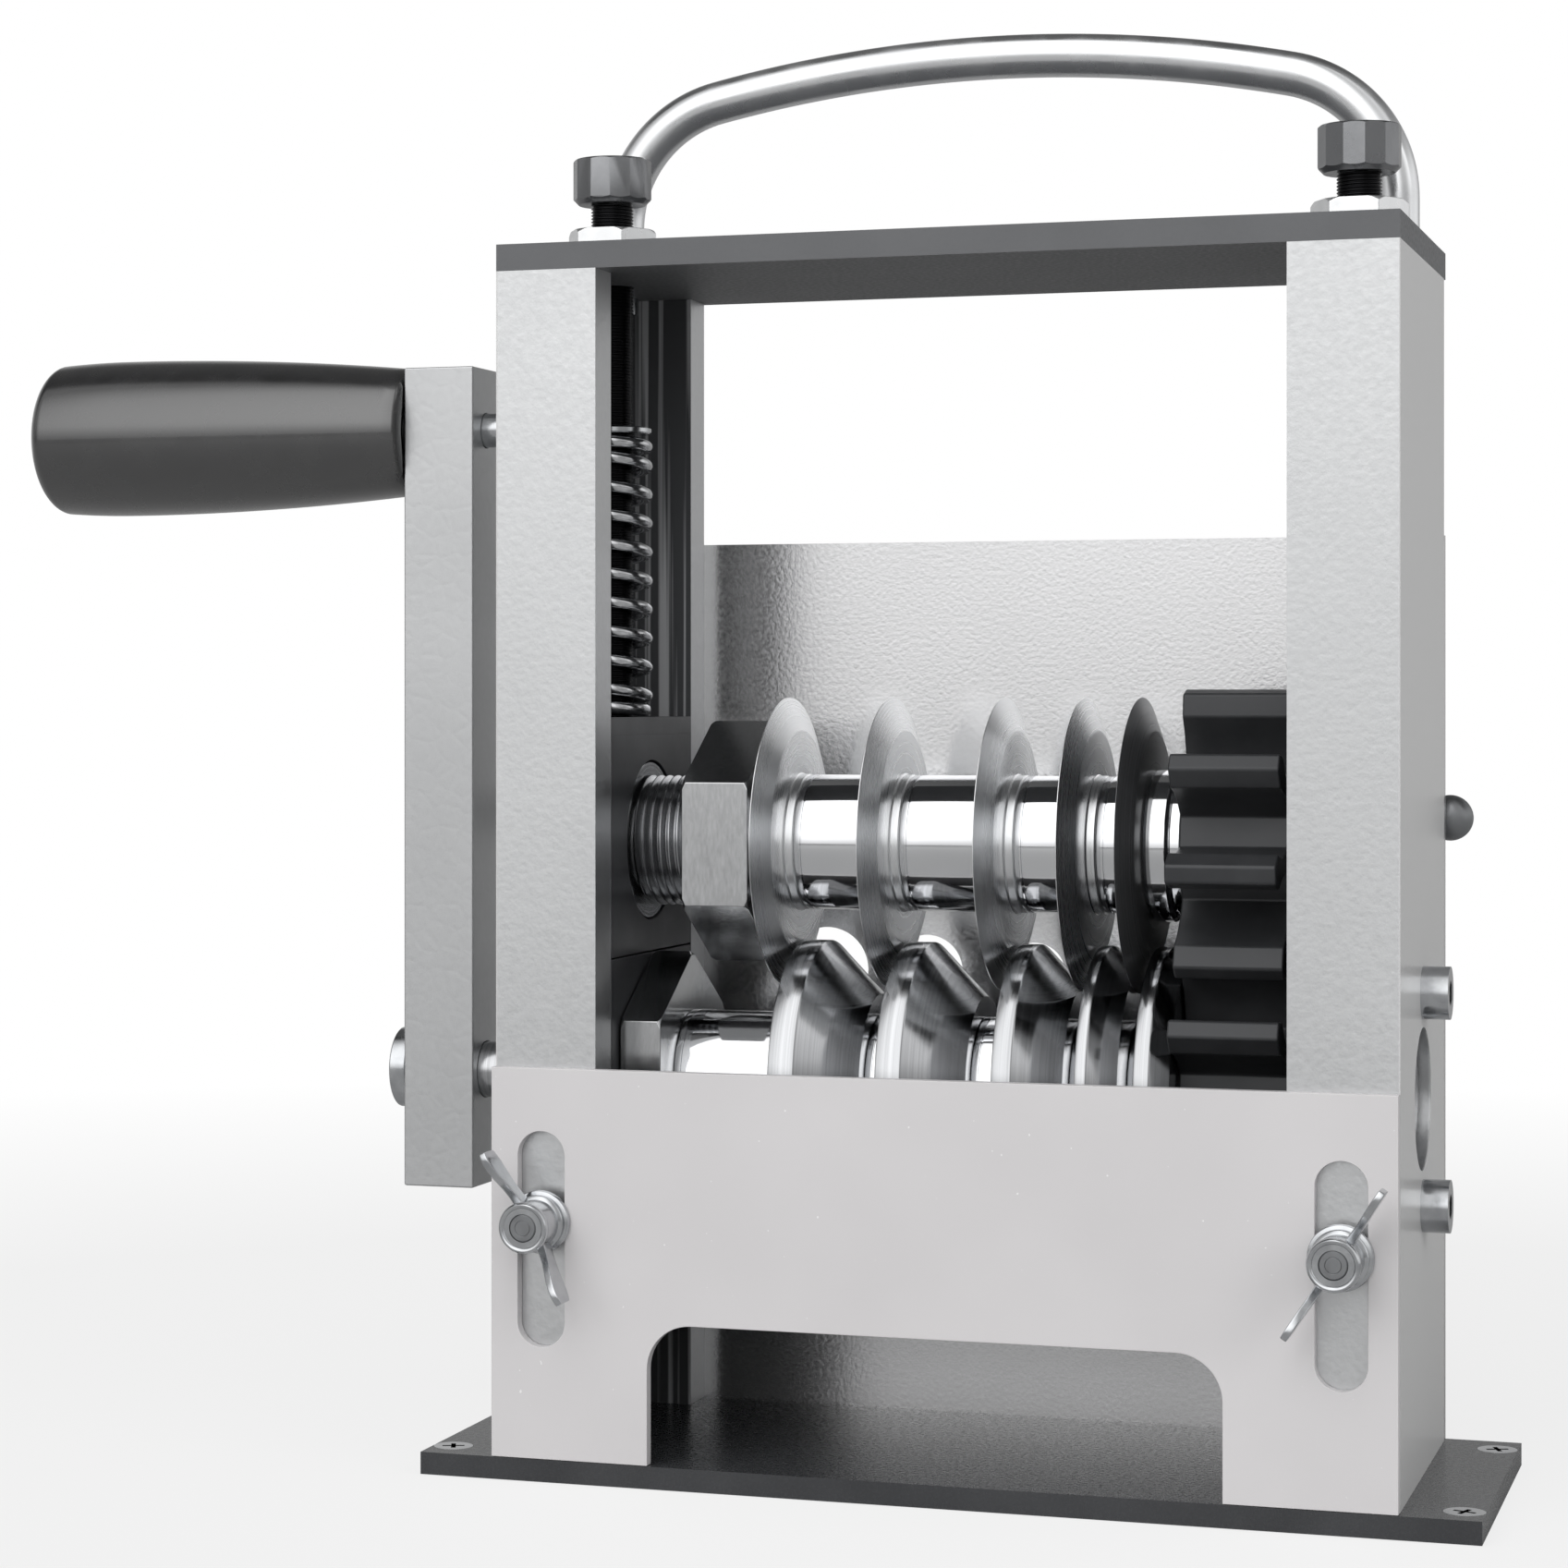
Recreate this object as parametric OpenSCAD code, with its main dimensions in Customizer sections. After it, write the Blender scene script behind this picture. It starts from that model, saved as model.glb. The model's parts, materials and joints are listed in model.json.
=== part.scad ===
// Hand-cranked bench machine that slits the jacket of electrical cable.
// X runs across the machine, +Y to the back where cable goes in, Z up.
// The origin lies on the base's underside, midway between the columns and in the shafts' plane.

/* [Frame] */
// Outer width over the two columns
frame_w = 200; // [196:1:216]
// Depth of the columns, front to back
frame_d = 82; // [78:1:96]
// Width of one column
col_w = 23.5; // [23:0.5:25]
// Height of the columns
col_h = 265; // [250:1:320]
// Thickness of a column's front and back walls
flange_t = 11; // [9:0.5:12]
// Thickness of a column's outer wall
web_t = 4; // [3:0.1:4.4]
// Thickness of the base plate
base_t = 5; // [4:0.5:10]
// Base plate beyond each column, sideways
base_side = 17; // [15:0.5:24]
// Thickness of the top plate
top_t = 6; // [4:0.5:10]
// Thickness of the rear plate
rear_t = 3; // [2:0.5:5]
// Height of the rear plate
rear_h = 206.5; // [180:1:240]

/* [Front plate] */
// Thickness of the sliding front plate
front_t = 3; // [2:0.5:5]
// Height of the front plate
front_h = 87; // [82:1:92]
// Width of the arch cut into the front plate
arch_w = 127; // [100:1:136]
// Height of the arch
arch_h = 31.3; // [20:0.1:40]
// Corner radius of the arch
arch_r = 10; // [4:0.5:14]
// Width of the two height slots
slot_w = 11; // [8:0.5:12]
// Travel of the front plate, upwards from rest
front_lift = 22; // [10:1:24]
// Height of the slot above the stud's centre
slot_over = 14.5; // [8:0.5:16]
// Height of the studs above the base plate
stud_h = 53; // [48:0.5:56]

/* [Shafts] */
// Height of the drive shaft above the base plate
drive_h = 82; // [78:0.5:92]
// Distance between the shafts with the cutters fully down
shaft_gap = 54.5; // [53:0.5:57]
// Radius of the shafts where the discs sit
shaft_r = 12.5; // [11:0.25:13]
// Outer radius of the nuts' thread on the shafts
thread_r = 15; // [14:0.25:15.25]
// Outer radius of the polished spacers
spacer_r = 15.4; // [14.5:0.1:16]
// Wall of the bushes and of the bearings
bearing_wall = 6; // [4:0.25:6.5]
// Distance from a shaft's centre to the far end of its bearing block
block_reach = 28.5; // [27:0.5:29]

/* [Cutters] */
// Radius of the slitting blades
blade_r = 33; // [30:0.5:34]
// Thickness of a blade
blade_t = 3; // [2:0.1:4]
// Radius where a blade's bevel starts
bevel_r = 25.5; // [22:0.5:28]
// Radius of the feed discs
disc_r = 32; // [29:0.5:33]
// Sideways gap between a blade and its feed disc
shear_gap = 0.7; // [0.4:0.1:1.5]
// Longest cone on the side of a feed disc
disc_cone = 12; // [6:0.5:14]
// Share of the blades' room from the first blade to the second, in mm at the real width
pitch_1 = 24.5; // [20:0.1:26]
// Share from the second blade to the third
pitch_2 = 26.1; // [22:0.1:27]
// Share from the third blade to the fourth
pitch_3 = 18.3; // [15:0.1:19]
// Share from the fourth blade to the fifth
pitch_4 = 12.8; // [12:0.1:15]
// Width of the gears
gear_w = 23.8; // [18:0.2:24]
// Width of the collar between the last blade and the upper gear
collar_w = 8.3; // [7:0.1:10]
// Free thread between the left column and the large nut
thread_free = 14.7; // [10:0.1:18]
// Width of the large nut on the cutter shaft
cutter_nut_w = 15.4; // [12:0.2:17]
// Width across the flats of the large nut
cutter_nut_af = 48; // [40:1:50]
// Width of the nut on the drive shaft
drive_nut_w = 9.5; // [7:0.5:11]
// Width across the flats of the drive shaft's nut
drive_nut_af = 50; // [42:1:52]

/* [Crank] */
// Distance from the drive shaft to the grip
crank_r = 150.4; // [110:0.2:170]
// Thickness of the crank arm
arm_t = 17.2; // [14:0.1:22]
// Width of the crank arm
arm_w = 19; // [19:0.5:30]
// Length of the grip
grip_len = 95.6; // [80:0.1:120]
// Largest radius of the grip
grip_r = 18.7; // [16.5:0.1:22]
// Radius of the grip's neck beside the arm
grip_neck_r = 15; // [13:0.1:16]
// Radius of the spindle that the grip turns on
spindle_r = 4; // [3:0.1:5]

/* [Adjusters] */
// Radius of the adjusting screws
screw_r = 4.95; // [4:0.05:5.2]
// Radius of the adjusting screws' heads
head_r = 9.1; // [8:0.1:11]
// Height of the adjusting screws' heads
head_h = 10.5; // [8:0.5:14]
// Gap between a head and its nut
head_gap = 6; // [3:0.1:10]
// Height of the nuts on the top plate
nut_h = 7.2; // [6:0.1:12]
// Width across the flats of the nuts on the top plate
nut_af = 18.6; // [16:0.1:20]
// Outer radius of the springs
spring_r = 9.5; // [8.6:0.1:9.5]
// Radius of the spring wire
wire_r = 1.5; // [1:0.05:1.6]
// Height of the springs
spring_h = 65.5; // [58:0.5:76]
// Open turns of a spring
spring_turns = 8.25; // [7:0.25:9]

/* [Carry handle] */
// Radius of the handle's bar
bar_r = 5; // [4:0.25:5.5]
// Distance from the frame's side to the middle of the handle's leg
leg_in = 8.5; // [8:0.5:12]
// Height of the handle's arch above the top plate, at the bar's centre
arch_top = 47; // [42:1:70]
// Radius of the handle's long arch
arch_bend = 320; // [250:5:500]
// Radius of the handle's corners
corner_bend = 30; // [14:1:36]

/* [Rear guide] */
// Radius of the rear guide bar
guide_r = 4; // [3:0.25:5]
// Radius of the balls on the guide bar's ends
ball_r = 5.3; // [5.2:0.1:7]
// Height of the guide bar above the base plate
guide_h = 141.7; // [130:1:160]
// Radius of the largest cable hole in the rear plate
feed_r = 10; // [8:0.5:10.5]
// How much smaller each next cable hole is
feed_step = 1.4; // [0.5:0.1:1.5]

/* [Hidden] */
$fn = 64;

// Clearances
fit = 0.05;        // radial clearance of a shaft in its hole
slide_gap = 0.1;   // between flat faces that slide
rest_gap = 0.3;    // between faces that stop against each other
eps = 0.01;        // how far a cut runs past a face

// Frame levels and faces
half_w = frame_w / 2;
half_d = frame_d / 2;
mouth_x = half_w - col_w;             // inner face of a column
channel_x = half_w - web_t;           // bottom of a column's channel
channel_half = half_d - flange_t;     // half the channel's width
mid_x = (mouth_x + channel_x) / 2;    // middle of the channel, where the screws stand
flange_x = half_w - col_w / 2;        // middle of a column's front and back walls
flange_y = half_d - flange_t / 2;
col_top = base_t + col_h;
deck_z = col_top + top_t;             // upper face of the top plate
base_half_w = half_w + base_side;
base_half_d = half_d + rear_t;
drive_z = base_t + drive_h;
cutter_z = drive_z + shaft_gap;
stud_z = base_t + stud_h;

// Bearing blocks
block_back = channel_x - 0.2;
block_half = channel_half - slide_gap;
block_split = drive_z + block_reach;   // where the lower block ends
block_top = cutter_z + block_reach;
keeper_t = 4;
bearing_r = shaft_r + bearing_wall;
web_hole_r = bearing_r - 2.9;
bolt_reach = block_reach - 5.3;        // side bolts above and below the drive shaft

// Shoulder of each adjusting screw, held under its keeper plate
shoulder_t = 3;
shoulder_r = 7;
pocket_r = shoulder_r + rest_gap;
pocket_z = block_top - keeper_t - shoulder_t - 2 * rest_gap;
head_bevel = 1.2;
head_sides = 12;
spring_ring_t = 1.5;

// Stacks along the shafts: the gears stand beside the right column, the large nut near
// the left one, and the blades share the room between them
gear_side = 3.1;                       // gears to the right column
gear_x = mouth_x - gear_side - gear_w;
washer_w = 3;
cutter_nut_x = -mouth_x + thread_free;
blade_1_x = cutter_nut_x + cutter_nut_w + washer_w;
blade_5_x = gear_x - collar_w - blade_t;
share = (blade_5_x - blade_1_x) / (pitch_1 + pitch_2 + pitch_3 + pitch_4);
blade_2_x = blade_1_x + pitch_1 * share;
blade_3_x = blade_2_x + pitch_2 * share;
blade_4_x = blade_3_x + pitch_3 * share;
blade_x = [blade_1_x, blade_2_x, blade_3_x, blade_4_x, blade_5_x];
hub_w = 2.2;
hub_r = spacer_r + 0.1;
collar_r = spacer_r + 1.5;
disc_rim = [6, 5.8, 4.4, 2.6, 3.5] * share;
disc_x = [for (x = blade_x) x + blade_t + shear_gap];
drive_nut_x = -mouth_x + 0.5;
shaft_end = channel_x - 1;
ring_t = 1.6;
ring_r = shaft_r + 3.6;

// How far right the cone of disc i reaches: clear of the next blade, or up to the gear
function cone_end(i) = min(
  disc_x[i] + disc_rim[i] + disc_cone,
  i < 4 ? blade_x[i + 1] - shear_gap : gear_x);

// Gear teeth, in proportion to the distance between the shafts
gear_teeth = 9;
module_mm = shaft_gap / gear_teeth;
gear_tip_r = 5.945 * module_mm;
gear_root_r = 2.905 * module_mm;
tooth_deep = gear_tip_r - gear_root_r;
tooth_tip = 0.363 * module_mm;     // half widths of a tooth: tip, three quarters up, half
tooth_high = 0.644 * module_mm;    // way, a quarter up and foot
tooth_mid = 0.413 * module_mm;
tooth_low = 0.347 * module_mm;
tooth_foot = 0.462 * module_mm;
tooth_bevel = 0.5;
tooth_lean = 2.4;                  // upper gear's lowest tooth, towards the front, degrees
key_w = 6;
key_low = shaft_r - 3;
key_high = shaft_r + 2.6;

// Crank
arm_gap = 0.4;
arm_in = base_half_w + arm_gap;    // inner face of the crank arm
arm_out = arm_in + arm_t;
crank_seat_r = 6.5;
crank_z = drive_z + crank_r;
arm_tail = 27;
arm_head = 14.5;
bolt_cap_r = 9.4;
bolt_cap_t = 4;
bolt_core_r = 3;
grip_in = arm_out + rest_gap;
grip_out = grip_in + grip_len;
screw_head_r = spindle_r + 2.8;

// Handle
leg_x = half_w - leg_in;
handle_y = 24;
handle_top = deck_z + arch_top;
arch_z = handle_top - arch_bend;
corner_x = leg_x - corner_bend;
corner_z = arch_z + sqrt(pow(arch_bend - corner_bend, 2) - pow(corner_x, 2));
arch_half = asin(corner_x / (arch_bend - corner_bend));
handle_screw_r = 2;
handle_screw_in = 11;              // how far the screws reach into the legs

// Front plate and its clamps
front_face = half_d + slide_gap + front_t;    // distance of its front from the middle
slot_low = stud_z - front_lift - 0.5;
slot_high = stud_z + slot_over;
stud_r = 3;
washer_r = 7;
washer_t = 1.5;
clamp_travel = 3;
washer_y = front_face + slide_gap;
wing_y = washer_y + washer_t + slide_gap;
barrel_len = 10.8;
barrel_r = 5.6;
barrel_taper = 0.3;
wing_foot = 5.8;                    // height of a wing where it leaves the barrel
wing_t = 1.8;
wing_tip = [15.5, 8.6];             // centre of a wing's end: from the stud's axis, from the washer
wing_tip_r = 3.7;
stud_end = wing_y + barrel_len - 0.2;
wing_lean = 33;                     // wings' tilt from the vertical, degrees

// Screws
m5_r = 2.5;
m5_head_r = 4.5;
head_drop = 2.2;
cross_w = 1;          // width of the cross recess
cross_depth = 1.2;
deck_bite = 12;       // how far the top plate's screws reach into the columns
base_bite = 15;
rear_bite = 7;
bite_spare = 2;       // how much deeper the holes are
keeper_screw_r = 2;
keeper_head_r = 3.6;
keeper_bite = 8;
keeper_edge = 7;      // from a keeper plate's end to its screw
bolt_head_r = 5.8;
bolt_head_t = 5.9;
bolt_hex_r = 2.9;
bolt_hex_depth = 2.5;
bolt_bite = 8;        // how far the side bolts reach into the blocks

// Springs
coil_r = spring_r - wire_r;
spring_z = block_top + slide_gap;
end_pitch = 2 * wire_r + 0.6;
turn_rings = 8;
spring_rise = spring_h - 2 * wire_r - slide_gap;
open_pitch = (spring_rise - 2 * end_pitch) / spring_turns;
ring_z = block_top + spring_h + rest_gap;

// Guide bar behind the rear plate
rear_back = half_d + rear_t;
rear_screw_low = 27;    // rear plate's screws above its lower edge
rear_screw_high = 12;   // and below its upper edge
rear_screw_z = [base_t + rear_screw_low, base_t + rear_h - rear_screw_high];
guide_out = 10;
guide_y = rear_back + guide_out;
guide_z = base_t + guide_h;
post_x = 60;
post_w = 10;
post_h = 16;
post_past = 7;        // how far a post reaches past the bar's centre
tenon_r = 2;

// Cable holes, one in front of each blade's groove
feed_z = drive_z + 22.5;
feed_x = [for (x = blade_x) x - 2];

// Basic shapes

// A cylinder along X from x0 to x1
module rod_x(r, x0, x1, y = 0, z = 0) {
  translate([x0, y, z]) rotate([0, 90, 0]) cylinder(r = r, h = x1 - x0);
}

// A cylinder along Y from y0 to y1
module rod_y(r, y0, y1, x = 0, z = 0) {
  translate([x, y1, z]) rotate([90, 0, 0]) cylinder(r = r, h = y1 - y0);
}

// A box from its low corner to its high corner
module span_box(low, high) {
  translate(low) cube(high - low);
}

// Turns an outline drawn as (distance along X, radius) about an X axis at height z
module turned_x(z) {
  translate([0, 0, z]) rotate([0, 90, 0]) rotate_extrude($fn = 96)
    rotate(90) mirror([0, 1]) children();
}

// Extrudes an outline drawn in the (Y, Z) plane along X
module along_x(x0, x1, z) {
  translate([x0, 0, z]) rotate([90, 0, 90]) linear_extrude(x1 - x0) children();
}

// One copy at each side of the machine
module both_sides() {
  children();
  mirror([1, 0, 0]) children();
}

module front_and_back() {
  children();
  mirror([0, 1, 0]) children();
}

// Countersunk screw with a cross recess, head up at the origin
module csk_screw(len, r = m5_r, head = m5_head_r) {
  difference() {
    union() {
      translate([0, 0, -head_drop]) cylinder(r1 = r, r2 = head, h = head_drop);
      translate([0, 0, -len]) cylinder(r = r, h = len - head_drop);
    }
    for (turn = [20, 110]) rotate(turn)
      translate([-head * 0.55, -cross_w / 2, -cross_depth]) cube([head * 1.1, cross_w, cross_depth + 1]);
  }
}

// The hole for such a screw
module csk_hole(len, r = m5_r, head = m5_head_r) {
  translate([0, 0, -head_drop]) cylinder(r1 = r + fit, r2 = head + fit, h = head_drop);
  translate([0, 0, -eps]) cylinder(r = head + fit, h = 1);
  translate([0, 0, -len]) cylinder(r = r + fit, h = len - head_drop + eps);
}

// Tube through rings that have the same number of points, each ring turning left
// round the tube's direction
module tube(rings) {
  sides = len(rings[0]);
  last = (len(rings) - 1) * sides;
  walls = [for (step = [0:len(rings) - 2], k = [0:sides - 1])
    let (a = step * sides + k, b = step * sides + (k + 1) % sides)
    each [[a, b, b + sides], [a, b + sides, a + sides]]];
  caps = [for (k = [1:sides - 2]) each [[0, k + 1, k], [last, last + k, last + k + 1]]];
  polyhedron([for (ring = rings) each ring], concat(walls, caps));
}

module hexagon(across_flats) {
  circle(r = across_flats / sqrt(3), $fn = 6);
}

// Frame

base_screw_x = base_half_w - 4.5;
base_screw_y = base_half_d - 9;

module at_base_screws() {
  both_sides() front_and_back() translate([base_screw_x, base_screw_y, base_t]) children();
}

module at_column_ends(z) {
  both_sides() front_and_back() translate([flange_x, flange_y, z]) children();
}

module base_plate() {
  color("#3a3b3d") difference() {
    span_box([-base_half_w, -base_half_d, 0], [base_half_w, base_half_d, base_t]);
    at_base_screws() csk_hole(base_t + 1);
    at_column_ends(0) rotate([180, 0, 0]) csk_hole(base_t + 1);
  }
}

module base_screws() {
  color("#c9cacb") at_base_screws() csk_screw(base_t - 0.4);
}

module column_screws() {
  color("#8d8f91") at_column_ends(0) rotate([180, 0, 0]) csk_screw(base_t + base_bite);
}

module column() {
  difference() {
    span_box([mouth_x, -half_d, base_t], [half_w, half_d, col_top]);
    span_box([mouth_x - 1, -channel_half, base_t - 1], [channel_x, channel_half, col_top + 1]);
    rod_x(web_hole_r, channel_x - 1, half_w + 1, 0, drive_z);
    for (z = [drive_z - bolt_reach, drive_z + bolt_reach])
      rod_x(stud_r + fit, channel_x - 1, half_w + 1, 0, z);
    rod_y(stud_r + fit, -half_d - 1, -channel_half + 1, flange_x, stud_z);
    for (end = [-1, 1]) translate([flange_x, end * flange_y, 0]) {
      translate([0, 0, base_t - 1]) cylinder(r = m5_r + fit, h = base_bite + bite_spare + 1);
      translate([0, 0, col_top - deck_bite - bite_spare])
        cylinder(r = m5_r + fit, h = deck_bite + bite_spare + 1);
    }
    for (z = rear_screw_z)
      rod_y(m5_r + fit, half_d - rear_bite - bite_spare, half_d + 1, flange_x, z);
  }
}

module left_column() {
  color("#c8c9ca") mirror([1, 0, 0]) column();
}

module right_column() {
  color("#c8c9ca") column();
}

module top_plate() {
  color("#4b4c4e") difference() {
    span_box([-half_w, -half_d, col_top], [half_w, rear_back, deck_z]);
    both_sides() {
      translate([mid_x, 0, col_top - 1]) cylinder(r = screw_r + 0.25, h = top_t + 2);
      translate([leg_x, handle_y, col_top - 1])
        cylinder(r = handle_screw_r + fit, h = top_t + 2);
    }
    at_column_ends(deck_z) csk_hole(top_t + 1);
  }
}

module top_plate_screws() {
  color("#8d8f91") at_column_ends(deck_z) csk_screw(top_t + deck_bite);
}

module rear_plate() {
  color("#bfc0c1") difference() {
    span_box([-half_w, half_d, base_t], [half_w, rear_back, base_t + rear_h]);
    both_sides() for (z = rear_screw_z)
      translate([flange_x, rear_back, z]) rotate([-90, 0, 0]) csk_hole(rear_t + 1);
    for (i = [0:4])
      rod_y((feed_r - i * feed_step) * share, half_d - 1, rear_back + 1, feed_x[i], feed_z);
    for (side = [-1, 1]) rod_y(tenon_r + fit, half_d - 1, rear_back + 1, side * post_x, guide_z);
  }
}

module rear_plate_screws() {
  color("#8d8f91") both_sides() for (z = rear_screw_z)
    translate([flange_x, rear_back, z]) rotate([-90, 0, 0]) csk_screw(rear_t + rear_bite);
}

module rear_guide_bar() {
  color("#8e9092") {
    rod_x(guide_r, -half_w, half_w, guide_y, guide_z);
    both_sides() translate([half_w, guide_y, guide_z]) sphere(r = ball_r);
  }
}

// Posts with a tenon through the rear plate, bored for the guide bar
module rear_bar_posts() {
  color("#55575a") both_sides() difference() {
    union() {
      span_box(
        [post_x - post_w / 2, rear_back, guide_z - post_h / 2],
        [post_x + post_w / 2, guide_y + post_past, guide_z + post_h / 2]);
      rod_y(tenon_r, half_d + 0.2, rear_back + 1, post_x, guide_z);
    }
    rod_x(guide_r + fit, post_x - post_w, post_x + post_w, guide_y, guide_z);
  }
}

// Centre of the handle's bar where its outer side faces the given angle, 0 at the right leg
function bar_centre(angle) =
  let (side = [cos(angle), 0, sin(angle)])
  angle <= 90 - arch_half ? [corner_x, 0, corner_z] + corner_bend * side
  : angle >= 90 + arch_half ? [-corner_x, 0, corner_z] + corner_bend * side
  : [0, 0, arch_z] + arch_bend * side;

function bar_ring(centre, angle) = [for (k = [0:bar_sides - 1])
  let (turn = 360 * k / bar_sides)
  centre + bar_r * [cos(turn) * cos(angle), sin(turn), cos(turn) * sin(angle)]];

bar_sides = 24;
corner_steps = 8;
arch_steps = 12;
corner_angles = [for (k = [0:corner_steps]) k * (90 - arch_half) / corner_steps];
bar_angles = concat(
  corner_angles,
  [for (k = [1:arch_steps - 1]) 90 - arch_half + 2 * arch_half * k / arch_steps],
  [for (angle = corner_angles) 90 + arch_half + angle]);

module carry_handle() {
  color("#d5d6d7") translate([0, handle_y, 0]) difference() {
    tube(concat(
      [bar_ring([leg_x, 0, deck_z], 0)],
      [for (angle = bar_angles) bar_ring(bar_centre(angle), angle)],
      [bar_ring([-leg_x, 0, deck_z], 180)]));
    both_sides() translate([leg_x, 0, deck_z - 1])
      cylinder(r = handle_screw_r + fit, h = handle_screw_in + 2);
  }
}

module handle_screws() {
  head = 4;
  color("#8d8f91") both_sides() translate([leg_x, handle_y, 0]) {
    translate([0, 0, col_top - head]) difference() {
      cylinder(r = handle_screw_r + 1.5, h = head);
      translate([0, 0, -1]) cylinder(r = handle_screw_r - 0.3, h = head / 2 + 1, $fn = 6);
    }
    translate([0, 0, col_top - 1])
      cylinder(r = handle_screw_r, h = deck_z + handle_screw_in - col_top + 1);
  }
}

module adjuster_nuts() {
  color("#c4c6c8") both_sides() translate([mid_x, 0, deck_z]) difference() {
    intersection() {
      linear_extrude(nut_h) hexagon(nut_af);
      cylinder(r1 = nut_af / sqrt(3) + nut_h - 1, r2 = nut_af / sqrt(3) - 1, h = nut_h);
    }
    translate([0, 0, -1]) cylinder(r = screw_r + fit, h = nut_h + 2);
  }
}

module lower_blocks() {
  color("#2d2e30") both_sides() difference() {
    span_box([mouth_x, -block_half, drive_z - block_reach], [block_back, block_half, block_split]);
    rod_x(bearing_r, mouth_x - 1, block_back + 1, 0, drive_z);
    for (z = [drive_z - bolt_reach, drive_z + bolt_reach])
      rod_x(stud_r + fit, block_back - bolt_bite - 1, block_back + 1, 0, z);
  }
}

// Ball bearing with its rings and shield drawn as steps in one ring
module lower_bearings() {
  bore = shaft_r + fit;
  outside = bearing_r - fit;
  inner = bore + 1.7;
  outer = outside - 1.5;
  color("#b9bbbd") both_sides() turned_x(drive_z) polygon([
    [mouth_x + 0.5, bore], [mouth_x + 0.5, inner], [mouth_x + 1, inner], [mouth_x + 1, outer],
    [mouth_x + 0.5, outer], [mouth_x + 0.5, outside], [block_back - 0.3, outside],
    [block_back - 0.3, outer], [block_back - 0.8, outer], [block_back - 0.8, inner],
    [block_back - 0.3, inner], [block_back - 0.3, bore]]);
}

module block_bolts() {
  color("#a9abad") both_sides() for (z = [drive_z - bolt_reach, drive_z + bolt_reach]) {
    difference() {
      rod_x(bolt_head_r, half_w, half_w + bolt_head_t, 0, z);
      translate([half_w + bolt_head_t - bolt_hex_depth, 0, z]) rotate([0, 90, 0])
        cylinder(r = bolt_hex_r, h = bolt_hex_depth + 1, $fn = 6);
    }
    rod_x(stud_r, block_back - bolt_bite, half_w + 0.5, 0, z);
  }
}

module guide_studs() {
  color("#a9abad") both_sides()
    rod_y(stud_r, -stud_end, -channel_half - 0.5, flange_x, stud_z);
}

// Carriage that holds the cutter shaft

module upper_blocks() {
  color("#2d2e30") both_sides() difference() {
    span_box(
      [mouth_x, -block_half, block_split + rest_gap],
      [block_back, block_half, block_top - keeper_t]);
    rod_x(bearing_r, mouth_x - 1, block_back + 1, 0, cutter_z);
    translate([mid_x, 0, pocket_z]) cylinder(r = pocket_r, h = shoulder_t + keeper_t);
    at_keeper_screws() translate([0, 0, -keeper_t - keeper_bite - 1])
      cylinder(r = keeper_screw_r + fit, h = keeper_t + keeper_bite + 2);
  }
}

module at_keeper_screws() {
  front_and_back() translate([mid_x, block_half - keeper_edge, block_top]) children();
}

module bushes() {
  color("#77797c") both_sides() difference() {
    rod_x(bearing_r - fit, mouth_x + 0.4, block_back - 0.3, 0, cutter_z);
    rod_x(shaft_r + fit, mouth_x - 1, block_back + 1, 0, cutter_z);
  }
}

module keeper_plates() {
  color("#37383a") both_sides() difference() {
    span_box([mouth_x, -block_half, block_top - keeper_t], [block_back, block_half, block_top]);
    translate([mid_x, 0, block_top - keeper_t - 1]) cylinder(r = screw_r + 0.08, h = keeper_t + 2);
    at_keeper_screws() csk_hole(keeper_t + 1, keeper_screw_r, keeper_head_r);
  }
}

module keeper_screws() {
  color("#8d8f91") both_sides() at_keeper_screws()
    csk_screw(keeper_t + keeper_bite, keeper_screw_r, keeper_head_r);
}

// Height of the wire's centre after a number of turns: closed end turns, open turns between
function wire_z(turn) =
  spring_z + wire_r + (turn < 1 ? end_pitch * turn
    : turn < 1 + spring_turns ? end_pitch + open_pitch * (turn - 1)
    : end_pitch + open_pitch * spring_turns + end_pitch * (turn - 1 - spring_turns));

all_turns = spring_turns + 2;
wire_steps = round(all_turns * turn_rings);

function wire_point(step) =
  let (turn = step * all_turns / wire_steps)
  [coil_r * cos(360 * turn), -coil_r * sin(360 * turn), wire_z(turn)];

// Ring of six points round the wire's centre, square to the wire
function wire_ring(step) =
  let (
    here = wire_point(step),
    run = wire_point(min(step + 1, wire_steps)) - wire_point(max(step - 1, 0)),
    along = run / norm(run),
    outward = [here.x, here.y, 0] / coil_r,
    side = cross(along, outward),
    up = side / norm(side))
  [for (k = [0:5]) here + wire_r * (cos(60 * k + 30) * outward + sin(60 * k + 30) * up)];

wire_gaps = [for (step = [0:wire_steps])
  for (later = [step + turn_rings - 2 : 1 : min(step + turn_rings + 2, wire_steps)])
    norm(wire_point(later) - wire_point(step)) - 2 * wire_r];
echo("least gap between spring turns, mm", min(wire_gaps));

module spring() {
  tube([for (step = [0:wire_steps]) wire_ring(step)]);
}

module left_spring() {
  color("#9b9da0") translate([-mid_x, 0, 0]) spring();
}

module right_spring() {
  color("#9b9da0") translate([mid_x, 0, 0]) spring();
}

// Cutter shaft and what turns with it

module key_slot(x0, x1, z, low, high) {
  span_box([x0, -key_w / 2 - fit, z + low], [x1, key_w / 2 + fit, z + high]);
}

key_x0 = gear_x + 2;
key_x1 = gear_x + gear_w - 2;

module cutter_shaft() {
  color("#9fa1a4") difference() {
    union() {
      rod_x(shaft_r, -shaft_end, shaft_end, 0, cutter_z);
      rod_x(thread_r, -mouth_x + rest_gap, blade_1_x - washer_w, 0, cutter_z);
    }
    key_slot(key_x0 - fit, key_x1 + fit, cutter_z, key_low, key_high);
  }
}

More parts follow.
